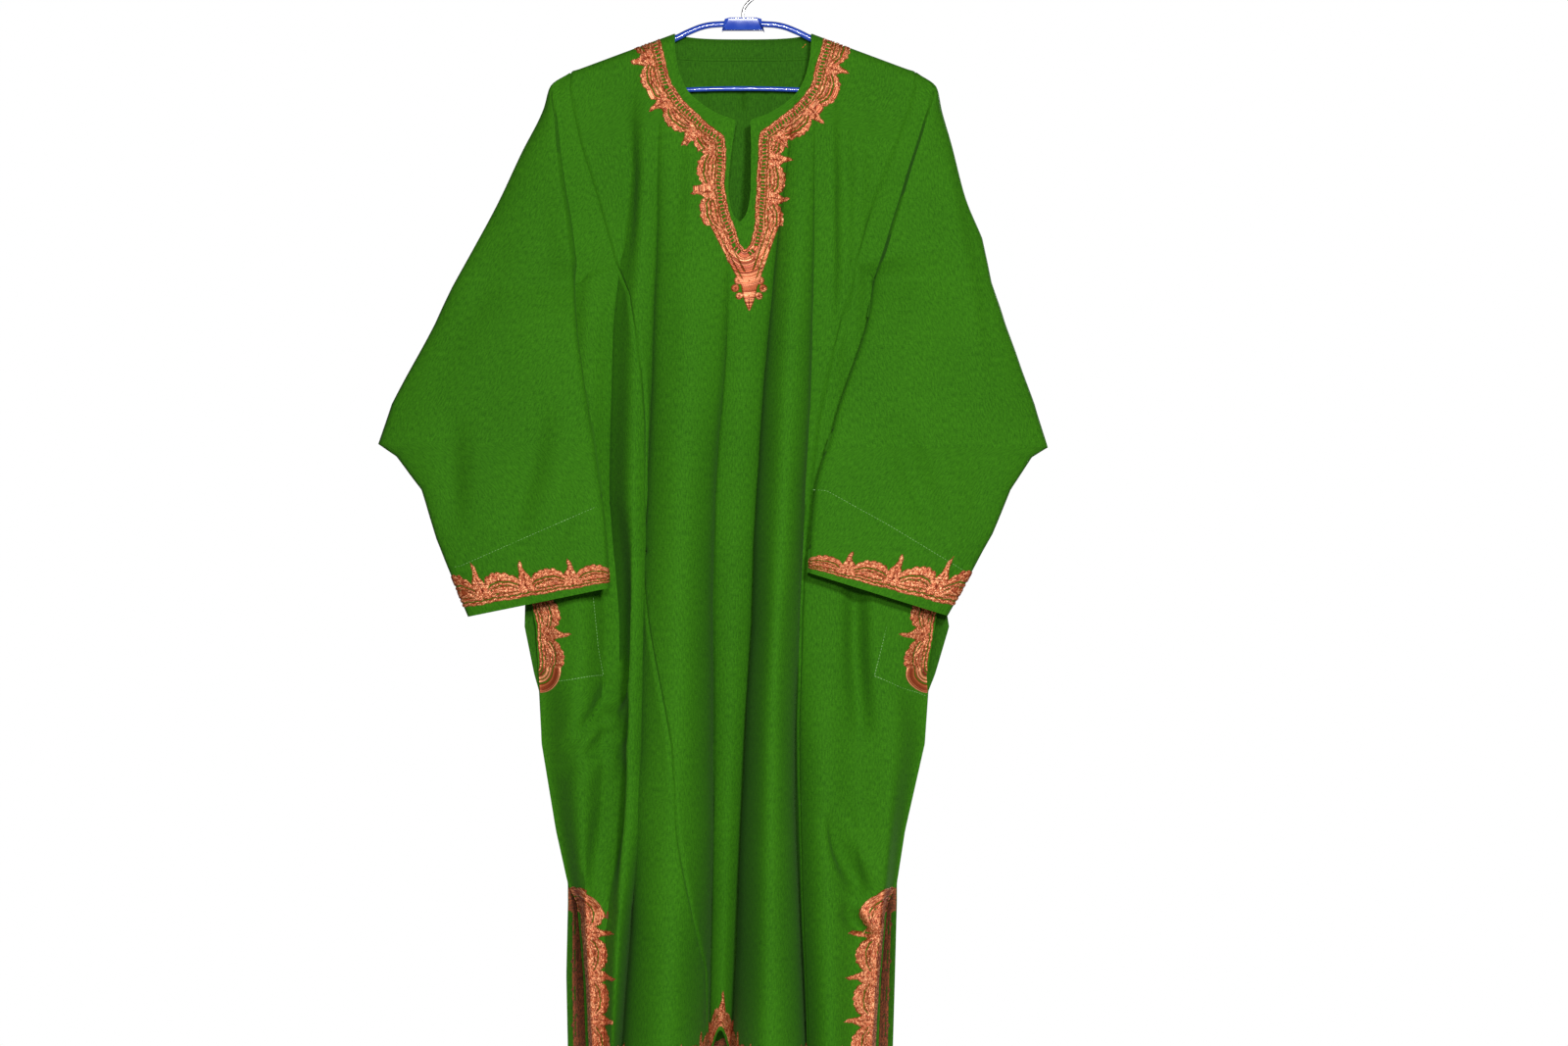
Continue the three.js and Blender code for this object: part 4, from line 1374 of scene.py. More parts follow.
# ---- the sleeves
# Inner x and z, outer x and z, where the front rolls over the recessed strip, how proud it stands off that
# strip, how far the tube's two ends stand out, and half the tube's thickness.
SLEEVE_LINES: dict[Hand, Table] = {
    Hand.RIGHT: (
        (-192, -136, -192.8, -119.6, 0.95, 0, 0, 0, 0),
        (-189, -159, -214, -134, 0.9, 1, 0, 0, 0),
        (-180.5, -199, -222, -160, 0.68, 8, 0, 0, 0),
        (-163, -255, -246, -208, 0.49, 13, 0, 0, 0),
        (-153, -290, -273, -265, 0.36, 15, 0, 0, 0),
        (-141, -333, -302, -319, 0.31, 16, 0, 0, 0),
        (-187, -355, -323, -357, 0, 0, 3, 0, 16),
        (-185, -394, -342, -398, 0, 0, 20, 4, 17),
        (-171, -488, -389, -488, 0, 0, 32, 10, 17),
        (-163, -533, -404, -532, 0, 0, 34, 12, 17),
        (-161, -549, -384, -546, 0, 0, 35, 14, 17),
        (-156, -583, -356, -583, 0, 0, 36, 20, 16),
        (-150, -637, -339, -637, 0, 0, 38, 26, 15),
        (-147, -691, -303, -723, 0, 0, 40, 30, 14),
    ),
    Hand.LEFT: (
        (192, -136, 192.8, -119.6, 0.95, 0, 0, 0, 0),
        (186, -159, 215, -136, 0.9, 1, 0, 0, 0),
        (171, -199, 221, -162, 0.63, 8, 0, 0, 0),
        (149, -255, 232, -200, 0.44, 12, 0, 0, 0),
        (138, -290, 247, -257, 0.3, 13, 0, 0, 0),
        (125, -333, 266, -303, 0.22, 13, 0, 0, 0),
        (145, -349, 276, -352, 0, 0, 3, 0, 16),
        (138, -394, 291, -398, 0, 0, 24, 4, 15),
        (107, -488, 324, -488, 0, 0, 40, 10, 14),
        (93, -536, 338, -536, 0, 0, 40, 12, 14),
        (88, -549, 320, -547, 0, 0, 40, 14, 14),
        (80, -583, 296, -583, 0, 0, 40, 20, 13),
        (75, -632, 276, -632, 0, 0, 42, 26, 13),
        (72, -674, 226, -722, 0, 0, 44, 30, 12),
    ),
}
ARMHOLE_LINES = 6
SLEEVE_CREASES: dict[Hand, tuple[Crease, ...]] = {
    Hand.RIGHT: (
        Crease(((-322, -495), (-320, -560), (-322, -630)), 14, 6),
        Crease(((-219, -480), (-235, -562), (-257, -640)), 16, 8),
        Crease(((-222, -250), (-214, -360), (-196, -470)), 14, 2.5),
        Crease(((-262, -300), (-300, -390), (-350, -470)), 16, 2),
        Crease(((-180, -560), (-196, -620), (-214, -668)), 9, 2.5),
    ),
    Hand.LEFT: (
        Crease(((164, -500), (190, -570), (218, -640)), 16, 8),
        Crease(((224, -195), (240, -313), (261, -421), (278, -519)), 11, -3.5),
        Crease(((180, -300), (168, -390), (150, -480)), 14, 2.5),
        Crease(((120, -560), (134, -610), (156, -650)), 10, 2.5),
        Crease(((270, -540), (262, -590), (252, -650)), 10, 3),
    ),
}


@dataclass
class Sleeve:
    """One sleeve: its armhole part, its recessed strip and the flattened tube below.

    Args:
        hand: which sleeve it is.
        finishes: the materials.
        strip_steps: columns across the recessed strip.
        layer_steps: columns across each layer.
        row_step: the height of a row of cloth cells.
        tuck: how far an armhole line's ends go under the panels, and how deep.
        first_tuck: how far the first line goes under them, inwards and down.
        cut: the width and length, in metres, that it was cut to, opened flat; not used.
        area: its area then, in square metres; not used.
        points: its places, filled in when it is built.
    """

    hand: Hand
    finishes: Finishes
    strip_steps: int = 9
    layer_steps: int = 44
    row_step: float = 5.0
    tuck: Pair = (3.0, 1.9)
    first_tuck: Pair = (2.5, 1.0)
    cut: Pair = (0.51, 0.62)
    area: float = 0.192
    points: Array = field(default_factory=lambda: np.zeros((0, 0, 3)))

    def line(self, row: Array, s: Array, layer: Layer, armhole: bool) -> Array:
        """The places of one layer on one line across the sleeve.

        Args:
            row: a row of SLEEVE_LINES.
            s: shares of the way from its inner to its outer end.
            layer: front or back.
            armhole: whether the line runs to the armhole.

        Returns:
            The places.
        """
        inner_x, inner_z, outer_x, outer_z, fold, proud, inner_out, outer_out, half = row
        sign = layer.value
        if armhole:
            inner_x = float(straight(np.array(inner_z), ARMHOLE, 1 if self.hand is Hand.RIGHT else 2))
        x, z = inner_x + (outer_x - inner_x) * s, inner_z + (outer_z - inner_z) * s
        if not armhole:
            shape = (1 - np.abs(2 * s - 1) ** 2.5) ** 0.4
            out = -(inner_out + (outer_out - inner_out) * s) + sign * half * shape
            return np.stack([x, out, z], -1)
        body = FRONT if layer is Layer.FRONT else BACK
        seam = float(np.abs(body.point(body.seam_fold(self.hand, np.array(inner_z)), inner_z)[..., 1]))
        bare = 1 - min(max(proud - 1, 0), 1)
        if layer is Layer.BACK:
            out = (seam + 8 * np.sin(np.pi * s) * min(proud, 1)) * np.sqrt(1 - s * s)
        else:
            strip = seam * np.sqrt(1 - s * s * bare)
            w = np.clip((s - fold) / (1 - fold), 0, 1)
            roll = (seam * math.sqrt(1 - fold**2 * bare) + proud) * np.sqrt(1 - w * w)
            out = np.where(s < fold, strip, roll)
        places = np.stack([x, sign * np.maximum(out, 0.02), z], -1)
        height = np.array([inner_z])
        seam_at, _ = body.dressed(body.seam_fold(self.hand, height), height, np.zeros(1))
        first = places[0] if layer is Layer.FRONT else places[-1]
        shift = seam_at[0] + np.array([self.hand.value * SEAM_GAP / 4, 0, 0]) - first
        near = np.exp(-((np.linalg.norm(places - first, axis=-1) / 6) ** 2)) * (1 - s) ** 0.5
        return places + shift * near[:, None]

    def rows(self) -> list[tuple[Array, bool]]:
        """The lines across the sleeve at an even step.

        Returns:
            A row of SLEEVE_LINES' numbers for each, and whether it is an armhole's.
        """
        made = []
        table = np.array(SLEEVE_LINES[self.hand], float)
        for armhole, part in ((True, table[:ARMHOLE_LINES]), (False, table[ARMHOLE_LINES:])):
            reach = np.concatenate([[0], np.cumsum(np.hypot(*np.diff(part[:, 2:4], axis=0).T))])
            count = max(int(reach[-1] / self.row_step), 2)
            at = np.unique(np.concatenate([np.linspace(0, reach[-1], count), reach]))
            columns = [smooth(-at, tuple(-reach), tuple(part[:, j])) for j in range(part.shape[1])]
            if not armhole:
                columns[2:4] = [np.interp(at, reach, part[:, j]) for j in (2, 3)]
            made.extend((row, armhole) for row in np.stack(columns, 1))
        return made

    def grid(self) -> Array:
        """The whole sleeve as rows of places: front layer outwards, then back layer inwards.

        Returns:
            The grid of places, from the shoulder down.
        """
        turn = (1 - np.cos(np.pi * np.linspace(0, 1, self.layer_steps))) / 2
        s = 0.55 * turn + 0.45 * np.linspace(0, 1, self.layer_steps)
        strip = np.linspace(0, 1, self.strip_steps + 1)[:-1]
        lines = []
        for row, armhole in self.rows():
            fold = row[4] if armhole else 0.0
            front_s = np.concatenate([strip * fold * 0.985, fold + s * (1 - fold)])
            front = self.line(row, front_s, Layer.FRONT, armhole)
            back = self.line(row, s[::-1], Layer.BACK, armhole)
            tuck = np.array([-self.hand.value * self.tuck[0], self.tuck[1], 0.0]) * armhole
            ends = front[:1] + tuck, back[-1:] + tuck * np.array([1, -1, 1])
            lines.append(np.concatenate([ends[0], front, back[1:], ends[1]]))
        last = [armhole for _, armhole in self.rows()].index(False)
        bridge = [lines[last - 1] * (1 - f) + lines[last] * f for f in (0.25, 0.5, 0.75)]
        inwards, down = self.first_tuck
        under = lines[0] - np.array([self.hand.value * inwards, 0, down])
        under[:, 1] = np.sign(under[:, 1]) * np.maximum(np.abs(under[:, 1]) - self.tuck[1], 0.02)
        return np.array([under] + lines[:last] + bridge + lines[last:])

    def build(self) -> Thing:
        """Makes the sleeve.

        Returns:
            The piece.
        """
        points = self.grid()
        rings = points.mean(axis=1, keepdims=True)
        hint = points - rings
        n = grid_normals(points, hint)
        x, z = points[..., 0], points[..., 2]
        front = (points[..., 1] < rings[..., 1]).astype(float)
        thick = np.clip(np.abs(points[..., 1] - rings[..., 1]) / 8, 0, 1)
        move = sum(crease.relief(x, z) for crease in SLEEVE_CREASES[self.hand]) * (0.35 + 0.65 * front)
        move = (move + unevenness(x + 900, z)) * thick
        self.points = points + n * move[..., None]
        name = f"sleeve_{self.hand.word}_cloth"
        mesh = cloth_mesh(name, self.points, hint)
        # The inner faces get the suiting's darker reverse, which is painted shade.
        piece = place_object(name, mesh, self.finishes.cloth, self.finishes.inside)
        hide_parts(f"sleeve_{self.hand.word}_front", f"sleeve_{self.hand.word}_back")
        LOG.info("%s: %d faces", piece.name, len(mesh.polygons))
        return piece

    def cuff(self, around: Array, up: Array) -> tuple[Array, Array, float]:
        """Places round the cuff.

        Args:
            around: shares of the way round, from 0 to 1.
            up: heights above the cuff's edge, in millimetres.

        Returns:
            The grid of places, its normals and the cuff's length round.
        """
        ring = self.points[-1, self.strip_steps + 1 : -1]
        reach = reach_of(ring)
        column = self.strip_steps + 1 + np.interp(around * reach[-1], reach, np.arange(len(ring)))
        middle = self.points[::-1, self.strip_steps + self.layer_steps // 2]
        rise = reach_of(middle)
        row = len(self.points) - 1 - np.interp(up, rise, np.arange(len(middle)))
        i = np.clip(row.astype(int), 0, len(self.points) - 2)
        j = np.clip(column.astype(int), 0, self.points.shape[1] - 2)
        f, g = (row - i)[:, None, None], (column - j)[None, :, None]
        a, b = self.points[np.ix_(i, j)], self.points[np.ix_(i, j + 1)]
        c, d = self.points[np.ix_(i + 1, j)], self.points[np.ix_(i + 1, j + 1)]
        at = (a * (1 - g) + b * g) * (1 - f) + (c * (1 - g) + d * g) * f
        return at, grid_normals(at, at - at.mean(axis=1, keepdims=True)), float(reach[-1])

    def on_front(self, path: Path, step: float) -> tuple[Array, Array]:
        """Places and normals along a path on the sleeve's front layer.

        Args:
            path: the path's corners, as x and z.
            step: the distance between places.

        Returns:
            The places and the normals.
        """
        where = resample(path, step)
        sheet = self.points[:, : self.strip_steps + self.layer_steps]
        n = grid_normals(sheet, np.array([0.0, -1.0, 0.0])).reshape(-1, 3)
        flat = sheet.reshape(-1, 3)
        away = np.hypot(flat[None, :, 0] - where[:, :1], flat[None, :, 2] - where[:, 1:])
        near = np.argsort(away, axis=1)[:, :4]
        weight = 1 / (np.take_along_axis(away, near, 1) + 0.2)
        weight = (weight / weight.sum(axis=1, keepdims=True))[..., None]
        y = (flat[near][..., 1:2] * weight).sum(axis=1)[:, 0]
        return np.stack([where[:, 0], y, where[:, 1]], -1), (n[near] * weight).sum(axis=1)


# ---- the thread work
def crown(inside: Array, soft: float, height: float) -> Array:
    """A rounded top: 0 at the motif's edge, full height from soft inwards, and falling away outside."""
    rise = np.clip(inside / soft, 0, 1)
    return np.where(inside > 0, height * np.sqrt(1 - (1 - rise) ** 2), 1.2 * inside)


@dataclass(frozen=True)
class Band:
    """A band of thread work beside an edge: a border, a ladder, half leaves, their scallops and their spikes.

    Args:
        plain: the bare strip beside the edge.
        border: the width of the solid border.
        ladder: the width of the ladder.
        leaf: how high the half leaves are.
        scallop: the width of the scallop round them.
        spike: how far the spikes reach past the scallops.
        pitch: the length of a half leaf.
        height: how far the thread stands up.
    """

    plain: float
    border: float
    ladder: float
    leaf: float
    scallop: float
    spike: float
    pitch: float
    height: float = 1.15

    @property
    def reach(self) -> float:
        """How far the band goes from the edge."""
        return self.plain + self.border + self.ladder + 2.9 + self.leaf + self.scallop + self.spike + 3

    def relief(self, u: Array, v: Array) -> Array:
        """The thread's height.

        Args:
            u: how far along the band a place is.
            v: how far it is from the edge.

        Returns:
            Its height, negative off the thread.
        """
        h = self.height
        u = u + 0.7 * np.sin(0.31 * v + 0.05 * u)
        v = v - self.plain + 0.45 * np.sin(0.17 * u) + 0.3 * np.sin(0.61 * u + 1)
        made = crown(self.border / 2 - np.abs(v - self.border / 2), 1.0, h)
        low = self.border + 1.1
        high = low + self.ladder
        if self.ladder > 0:
            for rail in (low, high):
                made = np.maximum(made, crown(0.75 - np.abs(v - rail), 0.6, 0.85 * h))
            rung = 0.95 - np.abs(np.mod(u, 3.9) - 1.95)
            rung = np.minimum(rung, np.minimum(v - low, high - v) + 0.6)
            made = np.maximum(made, crown(rung, 0.7, 0.75 * h))
        base = high + 1.5 if self.ladder > 0 else self.border + 1.0
        q = np.abs(2 * np.mod(u / self.pitch, 1) - 1)
        arc = self.leaf * (1 - q**2.4)
        lean = 1 / np.sqrt(1 + (self.leaf * 2.4 * q**1.4 * 2 / self.pitch) ** 2)
        leaf = np.minimum(v - base, (base + arc - v) * lean)
        ridges = 0.09 * h * np.cos(2 * np.pi * leaf / 2.1)
        leaf_top = crown(leaf, 1.4, h) - np.where(leaf > 0.8, ridges, 0)
        vein = (np.abs(leaf - 3.2) < 0.55) & (arc > 8)
        made = np.maximum(made, np.where(vein, -0.1, leaf_top))
        lobes = 1.7 * np.abs(np.sin(np.pi * u / (self.pitch / 7)))
        inner = base + arc + 1.3
        outer = inner + self.scallop * (0.5 + 0.5 * (1 - q * q)) + lobes
        rim = np.minimum(v - inner, outer - v) * lean
        ribs = np.where(rim > 0.8, 0.08 * h * np.cos(2 * np.pi * rim / 2.0), 0)
        made = np.maximum(made, crown(rim, 1.2, h) - ribs)
        off = np.abs(np.mod(u + self.pitch / 2, self.pitch) - self.pitch / 2)
        foot, tip = base + 1.5, base + self.leaf + self.scallop + self.spike
        g = (v - foot) / (tip - foot)
        fall = np.clip(1 - g, 0, 1)
        barbs = np.maximum(np.sin(2 * np.pi * (2.6 * g + 0.1)), 0)
        wide = 9.5 * fall**1.15 + 1.7 * barbs * fall**0.4
        spike = np.where((g > 0) & (g < 1), wide - off, -9)
        split = np.abs(off) < np.where(g < 0.55, 0.45, 0)
        made = np.maximum(made, np.where(split & (spike > 1), 0.1, crown(spike, 1.3, h)))
        grain = 0.05 * np.sin(5.1 * u + 3.3 * v) * np.sin(4.3 * v - 2.9 * u)
        return made + np.where(made > 0.2, grain, 0)


def from_edge(side: BodySide, hand: Hand, inwards: Array, z: Array) -> Array:
    """Fold numbers that lie given distances in from a side edge, as seen from the front.

    Args:
        side: the layer.
        hand: which side edge.
        inwards: lengths from the edge, in millimetres.
        z: the rows' heights.

    Returns:
        The fold numbers, rows by columns.
    """
    dense = np.linspace(0, 3, 240)
    t = dense if hand is Hand.RIGHT else side.last - dense
    points = side.point(t[None] + 0 * z[:, None], z[:, None] + 0 * t[None])
    ahead = np.abs(np.diff(points, axis=1))
    step = ahead[..., 0] + 0.15 * ahead[..., 1]
    reach = np.concatenate([np.zeros((len(z), 1)), np.cumsum(step, axis=1)], axis=1)
    return np.stack([np.interp(inwards, row, t) for row in reach])


# The inner edge of the thread work round the neck and the slit, as x and z.
NECK_LINE = (
    (-95, -70), (-92, -81), (-88, -101), (-84, -116), (-79, -134), (-69, -148), (-56, -162), (-41, -176),
    (-21, -192), (-18, -207), (-19.5, -227), (-20, -249), (-18, -265), (-14, -280), (-8.5, -296), (-4, -310),
    (2, -318), (8.5, -313), (12, -297), (13.5, -282), (15, -248), (16.5, -220), (17.5, -197), (19.5, -186),
    (40, -172), (54, -160), (67, -148), (75.5, -134), (80, -116), (84, -102), (88.5, -86), (92, -70),
)


@dataclass
class ThreadWork:
    """All the metal thread work.

    Args:
        finishes: the materials.
        neck: the band round the neck and slit.
        cuff: the band round each cuff.
        pocket: the band beside each pocket mouth.
        hem: the band along the hem and side slits.
        slit_start: how far along its pattern the band is at the foot of a slit.
        slit_arch: how far under a slit's top the band starts to arch round it.
        hem_squeeze: how many times lower the band is along the hem than up the slits.
    """

    finishes: Finishes
    neck: Band = Band(0, 2.6, 6.0, 12.0, 6.0, 10.0, 44)
    cuff: Band = Band(8.5, 3.0, 0.0, 14.0, 8.0, 15.0, 50.5)
    pocket: Band = Band(1.5, 2.6, 0.0, 15.0, 9.0, 14.0, 50)
    hem: Band = Band(5.0, 3.0, 0.0, 16.0, 10.0, 14.0, 48)
    slit_start: float = 32.0
    slit_arch: float = 36.0
    hem_squeeze: float = 1.25

    def finish(self, name: str, meshes: list[Mesh], material: Material) -> Thing:
        """Places a piece of thread work.

        Args:
            name: the piece's name.
            meshes: its stretches.
            material: its finish.

        Returns:
            The piece.
        """
        piece = join_meshes(name, meshes, material)
        LOG.info("%s: %d faces", name, len(piece.data.polygons))
        return piece

    def neck_work(self) -> Thing:
        """The band round the neck and slit, with the bud under the slit.

        Returns:
            The piece.
        """
        step = 0.75
        x, z = np.meshgrid(np.arange(-146, 146, step), np.arange(-74, -400, -step))
        along, off = along_path(x, z, NECK_LINE)
        height = self.neck.relief(along + 12, -off)
        height = self.foot(x, z, -off, height)
        height = np.where((z > shoulder_z(x) - 0.8) | (off > 0.5), -9, height)
        points, n = FRONT.dressed(FRONT.fold_at(x, z), z)
        mesh = relief_mesh("neck_thread", points, n, height, np.stack([along, off], -1))
        return self.finish("neck_thread", [mesh], self.finishes.thread)

    def foot(self, x: Array, z: Array, v: Array, height: Array) -> Array:
        """The relief with the foot of the neck band put in: chevrons down to a point, and a bud under them.

        Args:
            x: the places' x.
            z: the places' z.
            v: how far they are outside the band's inner edge.
            height: the band's relief.

        Returns:
            The relief.
        """
        h = self.neck.height
        _, low = along_path(x, z, ((-46, -272), (-1, -360)))
        _, high = along_path(x, z, ((15, -362), (46, -272)))
        vee = np.minimum(low, high)
        inner = self.neck.border + self.neck.ladder + 1.6
        solid = np.minimum(vee, v - inner)
        chevrons = crown(solid, 1.2, h) - 0.1 * h * np.cos(2 * np.pi * vee / 2.2) * (solid > 0.8)
        for line in (4.5, 10.5):
            chevrons = np.where((np.abs(vee - line) < 0.6) & (solid > 0), -0.1, chevrons)
        height = np.where((z < -292) & (v > inner), np.where(z > -372, chevrons, -9), height)
        height = np.where((z < -292) & (vee < -0.4), -9, height)
        bud_x, bud_z = x - 7, z + 361
        share = np.clip((25 - bud_z) / 50, 0, 1)
        spindle = np.where(np.abs(bud_z) < 25, 8.5 * np.sin(np.pi * share**0.8) ** 0.8 - np.abs(bud_x), -9)
        rib = np.where(np.abs(bud_x) < 0.5, 0.5, 1)
        height = np.maximum(height, crown(spindle, 1.4, h) * rib)
        for lobe_x, lobe_z, radius in ((12, 9, 4.6), (15.5, 0.5, 4.4), (11, -8, 4.0)):
            away = np.hypot(np.abs(bud_x) - lobe_x, bud_z - lobe_z)
            lobe = np.where(away < 0.28 * radius, 0.25, crown(radius - away, 1.4, 0.95 * h))
            height = np.maximum(height, lobe)
        return height

    def cuff_work(self, sleeve: Sleeve) -> Thing:
        """The band round a cuff.

        Args:
            sleeve: the sleeve.

        Returns:
            The piece.
        """
        step = 0.85
        up = np.arange(0, self.cuff.reach, step)
        _, _, round_cuff = sleeve.cuff(np.array([0.0, 1.0]), up[:2])
        around = np.linspace(0, 1, int(round_cuff / step))
        points, n, _ = sleeve.cuff(around, up)
        repeats = max(round(round_cuff / self.cuff.pitch), 1)
        u, v = np.meshgrid(around * repeats * self.cuff.pitch + 6, up)
        name = f"cuff_thread_{sleeve.hand.word}"
        mesh = relief_mesh(name, points, n, self.cuff.relief(u, v), np.stack([u, v], -1))
        return self.finish(name, [mesh], self.finishes.thread)

    def pocket_work(self, hand: Hand) -> Thing:
        """The band beside a pocket mouth, with the hook at its foot.

        Args:
            hand: which side of the robe.

        Returns:
            The piece.
        """
        step = 0.85
        inwards = np.arange(0.4, self.pocket.reach, step)
        z = np.arange(-655, -850, -step)
        t = from_edge(FRONT, hand, inwards, z)
        points, n = FRONT.dressed(t, z[:, None] + 0 * t)
        a, b = np.meshgrid(inwards, z)
        along, off = along_path(a, b, ((0, -600), (0, -781)))
        name = f"pocket_thread_{hand.word}"
        off = np.abs(off)
        mesh = relief_mesh(name, points, n, self.pocket.relief(along + 7, off), np.stack([along, off], -1))
        return self.finish(name, [mesh], self.finishes.thread)

    def hem_patches(self, side: BodySide, band: Band, step: float, inside: bool) -> list[Mesh]:
        """The band along one layer's hem and up both of its slit edges.

        Args:
            side: the layer.
            band: the band's sizes.
            step: the distance between places.
            inside: whether this is the reverse, on the inside of the cloth.

        Returns:
            A mesh for each stretch.
        """
        reach = band.reach
        top = SLIT_TOP_Z - HEM_Z - self.slit_arch
        meshes = []
        for hand in Hand:
            rise = np.arange(0.5, top + reach, step)
            inwards = np.arange(0.5, reach + step, step)
            t = from_edge(side, hand, inwards, HEM_Z + rise)
            z = HEM_Z + rise[:, None] + side.hem_lift(t, HEM_Z + rise[:, None])
            a, b = np.meshgrid(inwards, rise)
            slit = np.where(b > top, np.hypot(a, b - top), a)
            low = b * self.hem_squeeze
            turn = np.where(b > top, top + 0.3 * band.pitch * np.arctan2(b - top, a), b)
            v = np.minimum(slit, low)
            u = np.where(slit < low, turn + self.slit_start, a)
            meshes.append(self.patch(side, t, z, u, v, band, inside))
        dense = np.linspace(0, side.last, 4000)
        edge = side.point(dense, HEM_Z + side.hem_lift(dense, np.full(4000, HEM_Z)))
        length = reach_of(edge)
        run = np.arange(reach, length[-1] - reach, step)
        t = np.interp(run, length, dense)[None] + 0 * np.arange(0.5, reach, step)[:, None]
        rise = np.arange(0.5, reach, step)[:, None]
        z = HEM_Z + rise + side.hem_lift(t, HEM_Z + rise)
        repeats = round(length[-1] / band.pitch)
        u = run[None] * (repeats * band.pitch / length[-1]) + 0 * rise
        drawn_up = side.hem_lift(t, np.full(t.shape, HEM_Z)) / HEM_LIFT
        v = rise * (self.hem_squeeze + (1 - self.hem_squeeze) * drawn_up)
        meshes.append(self.patch(side, t, z, u, v, band, inside))
        return meshes

    def patch(self, side: BodySide, t: Array, z: Array, u: Array, v: Array, band: Band,
              inside: bool) -> Mesh:
        """A stretch of thread work on a layer, outside or inside.

        Args:
            side: the layer.
            t: fold numbers.
            z: heights.
            u: how far along the band each place is.
            v: how far from its edge.
            band: the band's sizes.
            inside: whether this is the reverse.

        Returns:
            The stretch's mesh.
        """
        points, n = side.dressed(t, z)
        if inside:
            points, n = points - n * (WALL + 0.05), -n
        return relief_mesh("thread", points, n, band.relief(u, v), np.stack([u, v], -1))

    def build(self, sleeves: list[Sleeve]) -> None:
        """Makes every band.

        Args:
            sleeves: both sleeves.
        """
        self.neck_work()
        for sleeve in sleeves:
            self.cuff_work(sleeve)
        for hand in Hand:
            self.pocket_work(hand)
        reverse = replace(self.hem, height=0.4)
        for side in (FRONT, BACK):
            word = side.layer.name.lower()
            outside = self.hem_patches(side, self.hem, 1.15, False)
            self.finish(f"hem_thread_{word}", outside, self.finishes.thread)
            inside = self.hem_patches(side, reverse, 1.9, True)
            self.finish(f"hem_reverse_{word}", inside, self.finishes.reverse)


# ---- plain sewing
@dataclass
class Stitching:
    """Rows of plain stitches.

    Args:
        finishes: the materials.
        length: a stitch's length.
        gap: the space between two stitches.
        width: a stitch's width.
    """

    finishes: Finishes
    length: float = 2.6
    gap: float = 0.9
    width: float = 0.95

    def run(self, name: str, points: Array, normals: Array, material: Material) -> Thing:
        """A row of stitches along places that are close together on the cloth.

        Args:
            name: the row's name.
            points: the places, in millimetres.
            normals: the cloth's normals there.
            material: the thread.

        Returns:
            The row.
        """
        reach = reach_of(points)
        starts = np.arange(0.3, reach[-1] - self.length, self.length + self.gap)
        ends, shoulders = (0.25, -0.15), (0.9, 0.26)
        shape = ((0.0, *ends), (0.18, *shoulders), (0.5, 1.0, 0.36), (0.82, *shoulders), (1.0, *ends))
        verts: list[list[float]] = []
        faces: list[list[int]] = []
        for start in starts:
            base = len(verts)
            for share, wide, lift in shape:
                at = start + share * self.length
                centre = place_at(at, reach, points)
                ahead = place_at(at + 0.4, reach, points) - centre
                n = place_at(at, reach, normals)
                n = n / max(np.linalg.norm(n), 1e-9)
                across = np.cross(ahead, n)
                across = across / max(np.linalg.norm(across), 1e-9)
                for side, up in ((-1, -0.25), (0, lift), (1, -0.25)):
                    verts.append(((centre + across * side * wide * self.width / 2 + n * up) * MM).tolist())
            for i in range(len(shape) - 1):
                a = base + 3 * i
                faces += [[a, a + 1, a + 4, a + 3], [a + 1, a + 2, a + 5, a + 4], [a + 2, a, a + 3, a + 5]]
            end = base + 3 * (len(shape) - 1)
            faces += [[base, base + 2, base + 1], [end, end + 1, end + 2]]
        mesh = bpy.data.meshes.new(name)
        mesh.from_pydata(verts, [], faces)
        set_uv(mesh, np.array(verts)[:, [0, 2]])
        LOG.info("%s: %d stitches", name, len(starts))
        return place_object(name, mesh, material)

    def on_body(self, name: str, side: BodySide, path: Path, material: Material,
                inside: bool = False) -> Thing:
        """A row of stitches along a path of x and z on the body.

        Args:
            name: the row's name.
            side: the layer.
            path: the path's corners.
            material: the thread.
            inside: whether it lies inside the robe.

        Returns:
            The row.
        """
        where = resample(path, 1.0)
        beside = np.stack([where, where + np.array([0.0, -0.8])])
        points, n = side.dressed(side.fold_at(beside[..., 0], beside[..., 1]), beside[..., 1])
        if inside:
            points, n = points - n * (2 * WALL + LAYER_GAP), -n
        return self.run(name, points[0], n[0], material)

    def build(self, sleeves: list[Sleeve]) -> None:
        """Makes every row of stitches.

        Args:
            sleeves: both sleeves.
        """
        pale = self.finishes.stitch
        facing = {
            Hand.RIGHT: ((-318, -668), (-311, -667), (-157, -600)),
            Hand.LEFT: ((77, -583), (92, -584), (121, -600), (159, -621), (245, -673)),
        }
        tip = {Hand.RIGHT: ((-387, -512), (-379, -544)), Hand.LEFT: ((312, -505), (307, -540))}
        for sleeve in sleeves:
            points, n = sleeve.on_front(facing[sleeve.hand], 2.0)
            self.run(f"cuff_stitches_{sleeve.hand.word}", points, n, pale)
            points, n = sleeve.on_front(tip[sleeve.hand], 1.5)
            self.run(f"tip_stitches_{sleeve.hand.word}", points, n, self.finishes.cloth)
        self.on_body("pocket_stitches_right", FRONT,
                     ((-165, -702), (-158, -756), (-151, -786), (-214, -796)), pale)
        self.on_body("pocket_stitches_left", FRONT, ((159, -734), (146, -789), (204, -812)), pale)
        ends = [(x, -100.5 - 1.5 * (1 - (abs(x) / NECK_HALF) ** 4)) for x in np.linspace(-70, 70, 16)]
        self.on_body("facing_stitches", BACK, tuple(ends), self.finishes.cloth, inside=True)
        self.on_body("orange_stitches", BACK, ((65.5, -91), (71.5, -83)), self.finishes.orange, inside=True)


